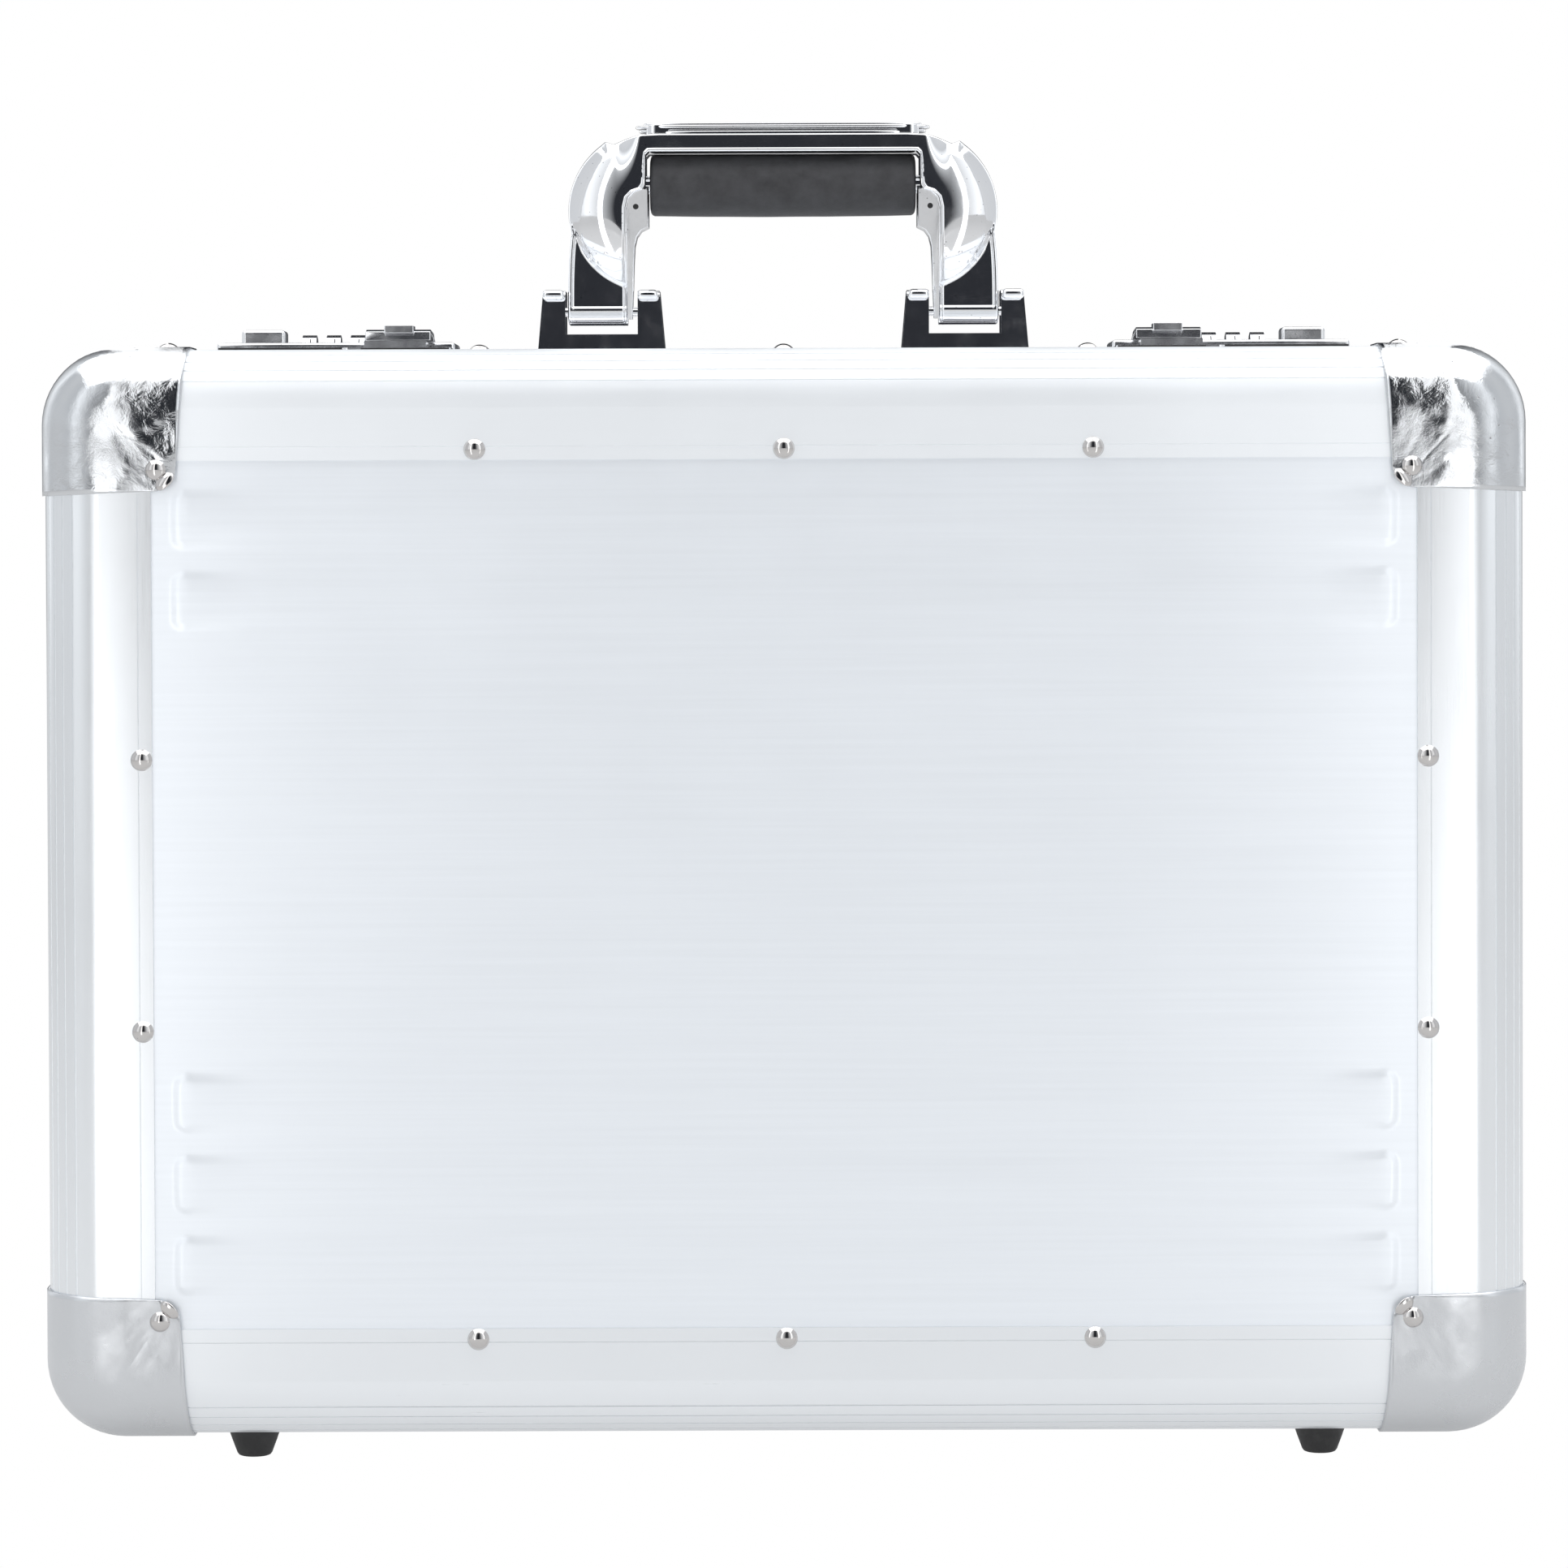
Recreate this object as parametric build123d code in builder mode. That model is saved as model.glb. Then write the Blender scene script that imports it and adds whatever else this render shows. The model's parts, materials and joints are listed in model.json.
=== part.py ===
from build123d import *
import os
from math import cos, radians, sin

# Aluminium attache case, standing upright on its feet.
# +X runs along its width, +Z is up, and the lid is the half in front, towards -Y.
# The origin lies on the ground under the middle of the case.

# Overall sizes
WIDTH = 460.0
BODY_HEIGHT = 338.0
DEPTH = 150.0
LID_DEPTH = 60.0
FOOT_HEIGHT = 9.0
PLAN_RADIUS = 23.5          # corners of the case seen from the front
EDGE_RADIUS = 18.5          # rounded long edges

HALF_WIDTH = WIDTH / 2
HALF_HEIGHT = BODY_HEIGHT / 2
FACE = DEPTH / 2            # distance of the front and back faces from the middle
BOTTOM = FOOT_HEIGHT
TOP = BOTTOM + BODY_HEIGHT
MIDDLE = BOTTOM + HALF_HEIGHT
SEAM = LID_DEPTH - FACE     # where the lid meets the base
SEAM_GAP = 0.2

# Edge extrusions: an L of flanges, each with a channel for its panel
SKIN = 1.2
FLANGE = 34.7
WEB_AT = 19.5
WEB = 1.0
LIP_END = 34.0
LIP_OUT = 3.3
LIP_IN = 4.3
CAP_INSET = 24.0            # the extrusions stop this far from the next side
GROOVE_ANGLES = (26.4, 38.8, 51.2, 63.6)
GROOVE_RADIUS = 0.32
FLANGE_LINE = 30.5
MITRE_GAP = 0.05
PROUD = 1.0                 # how far a cutter stands out of what it cuts

# Panels: aluminium laminated on board
PANEL_OUT = 1.25
PANEL_IN = 3.25
PANEL_EDGE = 20.6
RIB_HEIGHT = 1.1
RIB_WIDTH = 379.0
RIB_TALL = 19.0
RIB_RADIUS = 4.0
RIB_TAPER = 40.0
RIB_PITCH = 25.1
UPPER_RIBS = 2
LOWER_RIBS = 3
UPPER_RIB = TOP - 52.8
LOWER_RIB = BOTTOM + 54.5

# Rim extrusions at the seam
RIM_WIDTH = 15.0
RIM_BODY = 7.8
RIM_IN = 5.3
GROOVE_INSETS = (2.6, 4.05)
GROOVE_DEPTH = 4.6
TONGUE_INSETS = (2.75, 3.9)
TONGUE_LENGTH = 4.2
TONGUE_START = 42.0         # no tongue below this, where the lid swings about its hinge

# Lining trays
LINING_OUT = 5.5
LINING_THICKNESS = 1.5
LINING_FILLET = 8.0

# Corner caps
CAP_THICKNESS = 1.0
CAP_DEPTH = 43.5
CAP_OUTSIDE = 12.0
CAP_WIDE_AT_RIM = 45.1
CAP_TIP_UPPER = (42.4, 38.9)
CAP_TIP_LOWER = (36.9, 44.0)
CAP_LOW_AT_RIM = 45.4
CAP_BEVEL = 5.0
HOOD_RADIUS = 3.9
HOOD_WALL = 0.8
HOOD_SINK = 1.9
HOOD_SHIFT = 1.3            # along X and Z, from the middle of the cap's tip
HOOD_MOUTH = 0.9
HOOD_CLEARING = 4.9

# Rivets
RIVET_HEAD = 3.35
RIVET_DOME = 1.8
RIVET_SHANK = 1.5
RIVET_PITCH = 95.4
RIVET_INSET = 31.4
SIDE_RIVET_HEIGHT = 42.0
CORNER_RIVET_X = 36.4
CORNER_RIVET_Z = 37.4
CORNER_RIVET_DEPTH = 37.0

# Feet
FOOT_X = 167.5
FOOT_INSET = 29.0
FOOT_TOP = 8.3
FOOT_BASE = 5.2
FOOT_ROUNDING = 1.4

# Hinge along the bottom of the seam
HINGE_LENGTH = 380.0
HINGE_HEIGHT = 6.2
KNUCKLE_RADIUS = 2.5
HINGE_PIN_RADIUS = 1.2
HINGE_BORE = 1.25
KNUCKLES = 9
KNUCKLE_GAP = 0.3
KNUCKLE_ROOT = 0.5
LEAF_WIDTH = 13.5
LEAF_THICKNESS = 1.0
LEAF_CLEARANCE = 2.3
HINGE_RIVETS = 8
HINGE_RIVET_HEAD = 2.0
HINGE_RIVET_DOME = 0.9

# Lid stays: slotted arms, each pivoted on the lid and guided by a stud on the base
STAY_REACH = 20.0
STAY_HEIGHT = 51.7
STAY_PLANE = 219.5
STAY_THICKNESS = 1.4
STAY_HALF_TALL = 4.5
STAY_SLOT = (36.0, 95.0)
STAY_GAP = 0.3
STUD_RADIUS = 2.0
STUD_CLEARANCE = 0.08
STUD_WASHER = 5.0
STUD_HEAD = 3.6
STUD_HEAD_THICKNESS = 1.4

# Document pocket on the lid's floor
POCKET_HALF_WIDTH = 198.0
POCKET_BOTTOM = BOTTOM + 32.0
POCKET_TOP = BOTTOM + 225.0
POCKET_GAP = 6.0
POCKET_WALL = 2.0

# Handle, hung on the base
HANDLE_Y = 13.0
PIVOT_HEIGHT = 360.9
PIVOT_RADIUS = 1.5
PIVOT_BORE = 1.55
BRACKET_X = 58.7
BRACKET_FOOT = 20.7
BRACKET_HEAD = 18.8
BRACKET_TOP = 367.5
BRACKET_DEPTH = 16.0
BRACKET_ROUNDING = 2.0
NOTCH = (47.0, 70.3)
NOTCH_BOTTOM = 353.5
PIVOT_SPAN = (43.0, 74.5)
HANDLE_HALF_WIDTH = 69.7
LEG_INNER = 50.0
LEG_BOTTOM = 356.4
SOCKET_HALF_WIDTH = 44.0
SOCKET_TOP = 412.0
SHOULDER_TOP = 399.5
SHOULDER_BOTTOM = 393.5
ARM_STRAIGHT_TOP = 393.0
ARM_CORNER = (56.8, 416.0)
ARM_MIDWAY = (66.4, 406.3)
FRAME_TOP = 417.9
RIDGE_TOP = 421.8
RIDGE_HALF_WIDTH = 46.0
RIDGE_FLAT = 38.0
RIDGE_DEPTH = 15.0
FRAME_PROFILE = ((4.5, 360.9), (5.5, 369.9), (9.5, 384.9), (11.0, 391.9), (11.0, 411.9), (8.0, 417.9))
HANDLE_DEPTH = 2 * max(reach for reach, height in FRAME_PROFILE)
GRIP_HALF_WIDTH = 42.9
GRIP_RADIUS = 9.95
GRIP_HEIGHT = 401.9
GRIP_ROUNDING = 0.8
CORE_RADIUS = 3.0
CORE_HALF_LENGTH = 47.0

# Locks, on the base beside the handle, mirrored left and right
LOCK_X = (105.0, 181.0)
LOCK_Y = (-13.0, 17.0)
LOCK_TOP = 350.6
LOCK_ROUNDING = 1.2
LOCK_FLANGE_X = (107.0, 179.0)
LOCK_FLANGE_Y = (0.2, 16.0)
LOCK_BODY_X = (134.0, 177.5)
LOCK_BODY_Y = (1.5, 15.5)
LOCK_BODY_BOTTOM = 342.0
LOCK_CUT_CLEARANCE = 0.4
DIALS = 3
DIAL_FIRST = 137.4
DIAL_PITCH = 7.8
DIAL_WIDTH = 4.8
DIAL_SLOT = 5.2
DIAL_RADIUS = 5.2
DIAL_FACETS = 10
DIAL_Y = 8.0
DIAL_HEIGHT = 348.4
AXLE_RADIUS = 1.0
AXLE_BORE = 1.05
AXLE_SPAN = (134.2, 156.6)
DIAL_WELL = 5.5
DIAL_WELL_BOTTOM = 342.9
HASP_X = (112.3, 133.0)
HASP_POCKET_X = (112.0, 133.3)
HASP_POCKET_Y = (-14.0, 5.4)
HASP_POCKET_FLOOR = 347.6
HASP_PIVOT = (3.0, 350.0)
HASP_BARREL = 2.0
HASP_PIN_RADIUS = 0.9
HASP_BORE = 0.95
HASP_PIN_SPAN = (109.5, 134.3)
HASP_PROFILE = ((3.0, 352.0), (-2.0, 353.7), (-16.0, 354.5), (-19.4, 353.8), (-20.2, 351.0),
                (-18.8, 350.9), (-18.2, 352.4), (-15.5, 353.0), (-2.0, 352.2), (1.6, 350.3))
THUMB_X = (117.6, 126.9)
THUMB_Y = (-21.2, -12.0)
THUMB_Z = (353.4, 355.6)
BUTTON_X = (160.5, 174.5)
BUTTON_Y = (1.6, 14.4)
BUTTON_TOP = 355.1
BUTTON_BOTTOM = 350.9
BUTTON_ROUNDING = 1.3
BUTTON_SHANK_X = (163.8, 171.0)
BUTTON_SHANK_Y = (4.5, 11.5)
BUTTON_SHANK_BOTTOM = 346.0
BUTTON_SLOT_X = (163.5, 175.6)
BUTTON_SLOT_Y = (4.3, 11.7)
BUTTON_SLOT_BOTTOM = 345.4
STRIKE_X = (105.2, 139.5)
STRIKE_Y = (-33.0, -15.6)
STRIKE_PLATE = 1.3
STRIKE_ROUNDING = 2.0
STRIKE_BLOCK_X = (113.0, 132.6)
STRIKE_BLOCK_Y = (-31.0, -19.0)
STRIKE_TOP = 350.5

CASE = Plane(origin=(0, 0, MIDDLE), x_dir=(1, 0, 0), z_dir=(0, -1, 0))
LID, BASE = 1, -1           # which way is inwards along Y from each half's face
HALVES = {"lid": LID, "base": BASE}
SIDES = {"left": -1, "right": 1}

os.makedirs("parts", exist_ok=True)


def save(builder, name):
    """Label a finished piece and write it to its own file."""
    builder.part.label = name
    export_step(builder.part, f"parts/{name}.step")


def at_depth(half, depth):
    """Y of a plane this far inwards from a half's outer face."""
    return half * (depth - FACE)


def outline(inset, mode=Mode.ADD):
    """The case seen from the front, inset from its outer surface."""
    RectangleRounded(WIDTH - 2 * inset, BODY_HEIGHT - 2 * inset, PLAN_RADIUS - inset, mode=mode)


def band(outer, inner, one_y, other_y, mode=Mode.ADD):
    """A ring all round the case, between two insets and two planes across Y."""
    low, high = sorted((one_y, other_y))
    with BuildSketch(CASE.offset(-high)) as ring:
        outline(outer)
        outline(inner, mode=Mode.SUBTRACT)
    extrude(ring.sketch, amount=high - low, mode=mode)


def block(x_span, y_span, z_span, mode=Mode.ADD):
    """A box given by its spans, which may run either way."""
    low = [min(span) for span in (x_span, y_span, z_span)]
    high = [max(span) for span in (x_span, y_span, z_span)]
    with Locations(tuple((a + b) / 2 for a, b in zip(low, high))):
        Box(*(b - a for a, b in zip(low, high)), mode=mode)


def rod(x_span, y, z, radius, mode=Mode.ADD):
    """A cylinder along X."""
    low, high = sorted(x_span)
    with Locations(Location(((low + high) / 2, y, z), (0, 90, 0))):
        Cylinder(radius, high - low, mode=mode)


def span(side, ends):
    """A span along X on the left or right side."""
    return (side * ends[0], side * ends[1])


# Rivets: each is a place on the outer surface and the direction out of it

def face_rivets(half):
    out = (0, -half, 0)
    y = at_depth(half, 0)
    spots = []
    for z in (TOP - RIVET_INSET, BOTTOM + RIVET_INSET):
        spots += [((x, y, z), out) for x in (-RIVET_PITCH, 0, RIVET_PITCH)]
    for x in (RIVET_INSET - HALF_WIDTH, HALF_WIDTH - RIVET_INSET):
        spots += [((x, y, MIDDLE + dz), out) for dz in (-SIDE_RIVET_HEIGHT, SIDE_RIVET_HEIGHT)]
    return spots


def side_rivets(half):
    y = at_depth(half, RIVET_INSET)
    spots = []
    for x in (-RIVET_PITCH, 0, RIVET_PITCH):
        spots.append(((x, y, TOP), (0, 0, 1)))
        spots.append(((x, y, BOTTOM), (0, 0, -1)))
    for dz in (-SIDE_RIVET_HEIGHT, SIDE_RIVET_HEIGHT):
        spots.append(((-HALF_WIDTH, y, MIDDLE + dz), (-1, 0, 0)))
        spots.append(((HALF_WIDTH, y, MIDDLE + dz), (1, 0, 0)))
    return spots


def corner_rivets(half):
    y = at_depth(half, 0)
    deep = at_depth(half, CORNER_RIVET_DEPTH)
    x = HALF_WIDTH - CORNER_RIVET_X
    z = HALF_HEIGHT - CORNER_RIVET_Z
    spots = []
    for sx in (-1, 1):
        for sz in (-1, 1):
            lift = CAP_THICKNESS
            spots.append(((sx * x, y - half * lift, MIDDLE + sz * z), (0, -half, 0)))
            spots.append(((sx * x, deep, MIDDLE + sz * (HALF_HEIGHT + lift)), (0, 0, sz)))
            spots.append(((sx * (HALF_WIDTH + lift), deep, MIDDLE + sz * z), (sx, 0, 0)))
    return spots


def rivet_places(half):
    return face_rivets(half) + side_rivets(half) + corner_rivets(half)


def bore_rivets(half):
    """Cut every rivet's hole through the piece being built."""
    for place, out in rivet_places(half):
        with Locations(Plane(origin=place, z_dir=out).location):
            Cylinder(RIVET_SHANK, 2 * LIP_IN + CAP_THICKNESS, mode=Mode.SUBTRACT)


def dome(radius, height):
    """A rivet's head: a cap of a sphere, its flat face on the plane's origin."""
    ball = (radius ** 2 + height ** 2) / (2 * height)
    with Locations((0, 0, height - ball)):
        Sphere(ball)
    with Locations((0, 0, -ball)):
        Box(3 * ball, 3 * ball, 2 * ball, mode=Mode.SUBTRACT)


def make_rivets(name, half):
    with BuildPart() as one:
        dome(RIVET_HEAD, RIVET_DOME)
        with Locations((0, 0, -LIP_IN / 2)):
            Cylinder(RIVET_SHANK, LIP_IN)
    with BuildPart() as rivets:
        for place, out in rivet_places(half):
            add(one.part.moved(Plane(origin=place, z_dir=out).location))
    save(rivets, f"{name}_rivets")


# Case halves

def edge_section():
    """Section of an edge extrusion: X inwards from the side, Y inwards from the face."""
    start = EDGE_RADIUS
    outer_mid = EDGE_RADIUS - EDGE_RADIUS * cos(radians(45))
    inner_mid = EDGE_RADIUS - (EDGE_RADIUS - SKIN) * cos(radians(45))
    with BuildLine() as shape:
        Line((0, FLANGE), (0, start))
        ThreePointArc((0, start), (outer_mid, outer_mid), (start, 0))
        Polyline((start, 0), (FLANGE, 0), (FLANGE, SKIN), (start, SKIN))
        ThreePointArc((start, SKIN), (inner_mid, inner_mid), (SKIN, start))
        Polyline((SKIN, start), (SKIN, FLANGE), (0, FLANGE))
    make_face(shape.edges())
    web = WEB_AT + WEB / 2
    lip = (WEB_AT + LIP_END) / 2
    lip_mid = (LIP_OUT + LIP_IN) / 2
    with Locations((web, LIP_IN / 2 + SKIN / 4)):
        Rectangle(WEB, LIP_IN - SKIN / 2)
    with Locations((lip, lip_mid)):
        Rectangle(LIP_END - WEB_AT, LIP_IN - LIP_OUT)
    with Locations((LIP_IN / 2 + SKIN / 4, web)):
        Rectangle(LIP_IN - SKIN / 2, WEB)
    with Locations((lip_mid, lip)):
        Rectangle(LIP_IN - LIP_OUT, LIP_END - WEB_AT)
    for angle in GROOVE_ANGLES:
        x = EDGE_RADIUS * (1 - cos(radians(angle)))
        y = EDGE_RADIUS * (1 - sin(radians(angle)))
        with Locations((x, y)):
            Circle(GROOVE_RADIUS, mode=Mode.SUBTRACT)
    for spot in ((FLANGE_LINE, 0), (0, FLANGE_LINE)):
        with Locations(spot):
            Circle(GROOVE_RADIUS / 2, mode=Mode.SUBTRACT)


def make_edge(name, half, inward, edge_name):
    """One straight edge extrusion, mitred where its flanges meet the next one's."""
    inward = Vector(*inward)
    along = inward.cross(Vector(0, half, 0))
    reach = HALF_WIDTH if inward.X == 0 else HALF_HEIGHT
    drop = HALF_HEIGHT if inward.X == 0 else HALF_WIDTH
    origin = Vector(0, at_depth(half, 0), MIDDLE) - inward * drop
    with BuildPart() as edge:
        with BuildSketch(Plane(origin=origin, x_dir=inward, z_dir=along)):
            edge_section()
        extrude(amount=reach - CAP_INSET, both=True)
        for end in (-1, 1):
            corner = origin + along * (end * (reach - MITRE_GAP))
            mitre = Plane(origin=corner, z_dir=along * end + inward)
            split(bisect_by=mitre, keep=Keep.BOTTOM)
        bore_rivets(half)
    save(edge, f"{name}_edge_{edge_name}")


def make_face_panel(name, half):
    """Flat laminated panel with its stamped ribs."""
    width = WIDTH - 2 * PANEL_EDGE
    height = BODY_HEIGHT - 2 * PANEL_EDGE
    outer = at_depth(half, PANEL_OUT)
    inwards = Plane(origin=(0, outer, MIDDLE), x_dir=(1, 0, 0), z_dir=(0, half, 0))
    outwards = Plane(origin=(0, outer, 0), x_dir=(1, 0, 0), z_dir=(0, -half, 0))
    heights = [UPPER_RIB - RIB_PITCH * i for i in range(UPPER_RIBS)]
    heights += [LOWER_RIB + RIB_PITCH * i for i in range(LOWER_RIBS)]
    with BuildPart() as panel:
        with BuildSketch(inwards):
            Rectangle(width, height)
        extrude(amount=PANEL_IN - PANEL_OUT)
        with BuildSketch(outwards):
            with Locations([(0, half * z) for z in heights]):
                RectangleRounded(RIB_WIDTH, RIB_TALL, RIB_RADIUS)
        extrude(amount=RIB_HEIGHT, taper=RIB_TAPER)
        bore_rivets(half)
    save(panel, f"{name}_face_panel")


def make_side_panels(name, half):
    """The laminated band round the four sides, from the edge extrusions to the rim."""
    rim_side = SEAM - half * (RIM_BODY + PANEL_OUT / 2)
    with BuildPart() as panels:
        band(PANEL_OUT, PANEL_IN, at_depth(half, PANEL_EDGE), rim_side)
        bore_rivets(half)
        if half == BASE:
            for side in SIDES.values():
                cut_lock_opening(side)
    save(panels, f"{name}_side_panels")


def cut_lock_opening(side):
    """Window through the top panel for a lock's body."""
    low_x, high_x = LOCK_BODY_X
    low_y, high_y = LOCK_BODY_Y
    gap = LOCK_CUT_CLEARANCE
    x_span = span(side, (low_x - gap, high_x + gap))
    block(x_span, (low_y - gap, high_y + gap), (TOP - LINING_OUT, TOP + PROUD), mode=Mode.SUBTRACT)


def make_rim(name, half):
    """The rim extrusion at the seam; the base has a tongue on top and sides, the lid its groove."""
    edge = SEAM - half * SEAM_GAP
    outer_end = SEAM - half * RIM_WIDTH
    body_end = SEAM - half * RIM_BODY
    lip_end = SEAM - half * (RIM_WIDTH - SKIN)
    with BuildPart() as rim:
        band(0, SKIN, edge, outer_end)
        band(0, RIM_IN, edge, body_end)
        band(LIP_OUT, LIP_IN, edge, lip_end)
        if half == LID:
            band(*GROOVE_INSETS, SEAM, SEAM - GROOVE_DEPTH, mode=Mode.SUBTRACT)
        else:
            band(*TONGUE_INSETS, edge, SEAM - TONGUE_LENGTH)
            beyond = SEAM - TONGUE_LENGTH - PROUD
            block((-WIDTH, WIDTH), (edge, beyond), (0, TONGUE_START), mode=Mode.SUBTRACT)
    save(rim, f"{name}_rim_frame")


def make_lining(name, half):
    """Soft lining tray inside a half."""
    outer = at_depth(half, LINING_OUT)
    edge = SEAM - half * 2 * SEAM_GAP
    floor = Plane(origin=(0, outer, MIDDLE), x_dir=(1, 0, 0), z_dir=(0, half, 0))
    with BuildPart() as lining:
        with BuildSketch(floor):
            outline(LINING_OUT)
        extrude(amount=abs(edge - outer))
        near_floor = lining.edges().group_by(Axis.Y)[0 if half == LID else -1]
        fillet(near_floor, LINING_FILLET)
        mouth = lining.faces().sort_by(Axis.Y)[-1 if half == LID else 0]
        offset(amount=-LINING_THICKNESS, openings=mouth)
    save(lining, f"{name}_lining")


def keep_inside(plane, corners, amount):
    """Keep only what lies inside a polygon drawn on a plane and extruded by an amount."""
    with BuildSketch(plane) as window:
        with BuildLine():
            Polyline(corners, close=True)
        make_face()
    extrude(window.sketch, amount=amount, mode=Mode.INTERSECT)


def cap_region(half, sx, sz):
    """Trim a shell to one corner cap, by its outlines from the front, top and side."""
    far = HALF_WIDTH + CAP_OUTSIDE
    high = HALF_HEIGHT + CAP_OUTSIDE
    wide = HALF_WIDTH - CAP_WIDE_AT_RIM
    low = HALF_HEIGHT - CAP_LOW_AT_RIM
    upper_tip = (HALF_WIDTH - CAP_TIP_UPPER[0], HALF_HEIGHT - CAP_TIP_UPPER[1])
    lower_tip = (HALF_WIDTH - CAP_TIP_LOWER[0], HALF_HEIGHT - CAP_TIP_LOWER[1])
    rim = at_depth(half, CAP_DEPTH)
    cut = at_depth(half, CAP_DEPTH - CAP_BEVEL)
    beyond = at_depth(half, -CAP_OUTSIDE)
    front = [(wide, high), upper_tip, lower_tip, (far, low), (far, high)]
    keep_inside(CASE.offset(DEPTH), [(sx * x, sz * z) for x, z in front], -2 * DEPTH)
    above = [(wide, beyond), (wide, cut), (wide + CAP_BEVEL, rim), (far, rim), (far, beyond)]
    keep_inside(Plane.XY, [(sx * x, y) for x, y in above], 2 * BODY_HEIGHT)
    beside = [(beyond, low), (cut, low), (rim, low + CAP_BEVEL), (rim, high), (beyond, high)]
    keep_inside(Plane.YZ.offset(-WIDTH), [(y, MIDDLE + sz * z) for y, z in beside], 2 * WIDTH)


def rounded_half(half, inset):
    """Solid of a half's outer shape, inset from its surface, with its rounded front edges."""
    outer = at_depth(half, inset)
    with BuildPart() as solid:
        with BuildSketch(Plane(origin=(0, outer, MIDDLE), x_dir=(1, 0, 0), z_dir=(0, half, 0))):
            outline(inset)
        extrude(amount=LID_DEPTH)
        near_face = solid.edges().group_by(Axis.Y)[0 if half == LID else -1]
        fillet(near_face, EDGE_RADIUS - inset)
    return solid.part


def make_cap_shell(half):
    """Thin skin just outside a half of the case, for its four corner caps."""
    with BuildPart() as shell:
        add(rounded_half(half, -CAP_THICKNESS))
        add(rounded_half(half, 0), mode=Mode.SUBTRACT)
    return shell.part


def make_corner(name, half, shell, sx, sz, corner_name):
    """One plated corner cap, with the small hood pressed up at its tip."""
    tip_x = HALF_WIDTH - (CAP_TIP_UPPER[0] + CAP_TIP_LOWER[0]) / 2
    tip_z = HALF_HEIGHT - (CAP_TIP_UPPER[1] + CAP_TIP_LOWER[1]) / 2
    tip_x -= HOOD_SHIFT
    tip_z -= HOOD_SHIFT
    tip = Vector(sx * tip_x, at_depth(half, HOOD_SINK - CAP_THICKNESS), MIDDLE + sz * tip_z)
    into_panel = Vector(-sx, 0, -sz)
    with BuildPart() as corner:
        add(shell)
        cap_region(half, sx, sz)
        with Locations(Location(tip)):
            Sphere(HOOD_RADIUS)
            Sphere(HOOD_RADIUS - HOOD_WALL, mode=Mode.SUBTRACT)
        split(bisect_by=Plane(origin=tip + into_panel * HOOD_MOUTH, z_dir=into_panel), keep=Keep.BOTTOM)
        under = (at_depth(half, 0), at_depth(half, 2 * HOOD_RADIUS))
        x_span = (tip.X - HOOD_CLEARING, tip.X + HOOD_CLEARING)
        block(x_span, under, (tip.Z - HOOD_CLEARING, tip.Z + HOOD_CLEARING), mode=Mode.SUBTRACT)
        bore_rivets(half)
    save(corner, f"{name}_corner_{corner_name}")


def make_feet(name, half):
    """Two tapered rubber feet."""
    with BuildPart() as feet:
        for side in SIDES.values():
            centre = (side * FOOT_X, at_depth(half, FOOT_INSET), 0)
            with BuildSketch(Plane(origin=centre)):
                Circle(FOOT_BASE)
            with BuildSketch(Plane(origin=centre).offset(FOOT_HEIGHT)):
                Circle(FOOT_TOP)
            loft()
        fillet(feet.edges().group_by(Axis.Z)[0], FOOT_ROUNDING)
    save(feet, f"{name}_feet")


def make_half(name, half):
    make_face_panel(name, half)
    make_side_panels(name, half)
    make_rim(name, half)
    make_lining(name, half)
    make_rivets(name, half)
    make_feet(name, half)
    inwards = {"top": (0, 0, -1), "bottom": (0, 0, 1), "left": (1, 0, 0), "right": (-1, 0, 0)}
    for edge_name, inward in inwards.items():
        make_edge(name, half, inward, edge_name)
    shell = make_cap_shell(half)
    for level, sz in (("top", 1), ("bottom", -1)):
        for side_name, sx in SIDES.items():
            make_corner(name, half, shell, sx, sz, f"{level}_{side_name}")


# Hinge

def knuckle_spans(half):
    """The stretches of the hinge that one leaf's knuckles take, every other one."""
    pitch = HINGE_LENGTH / KNUCKLES
    first = 1 if half == LID else 0
    starts = [i * pitch - HINGE_LENGTH / 2 for i in range(first, KNUCKLES, 2)]
    return [(start + KNUCKLE_GAP / 2, start + pitch - KNUCKLE_GAP / 2) for start in starts]


def make_hinge_leaf(name, half):
    away = -half
    reach = SEAM + away * LEAF_WIDTH
    leaf_z = (BOTTOM - LEAF_THICKNESS, BOTTOM)
    with BuildPart() as leaf:
        block((-HINGE_LENGTH / 2, HINGE_LENGTH / 2), (SEAM + away * LEAF_CLEARANCE, reach), leaf_z)
        for x_span in knuckle_spans(half):
            block(x_span, (SEAM + away * KNUCKLE_ROOT, reach), leaf_z)
            block(x_span, (SEAM + away * KNUCKLE_ROOT, SEAM + away * KNUCKLE_RADIUS), (HINGE_HEIGHT, BOTTOM))
            rod(x_span, SEAM, HINGE_HEIGHT, KNUCKLE_RADIUS)
        rod((-HINGE_LENGTH, HINGE_LENGTH), SEAM, HINGE_HEIGHT, HINGE_BORE, mode=Mode.SUBTRACT)
    save(leaf, f"hinge_leaf_{name}")


def make_hinge_rivets(name, half):
    """Small heads under the leaf."""
    pitch = HINGE_LENGTH / HINGE_RIVETS
    y = SEAM - half * (LEAF_WIDTH + LEAF_CLEARANCE) / 2
    with BuildPart() as one:
        dome(HINGE_RIVET_HEAD, HINGE_RIVET_DOME)
    with BuildPart() as rivets:
        for i in range(HINGE_RIVETS):
            place = ((i + 0.5) * pitch - HINGE_LENGTH / 2, y, BOTTOM - LEAF_THICKNESS)
            add(one.part.moved(Plane(origin=place, z_dir=(0, 0, -1)).location))
    save(rivets, f"{name}_hinge_rivets")


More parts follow.
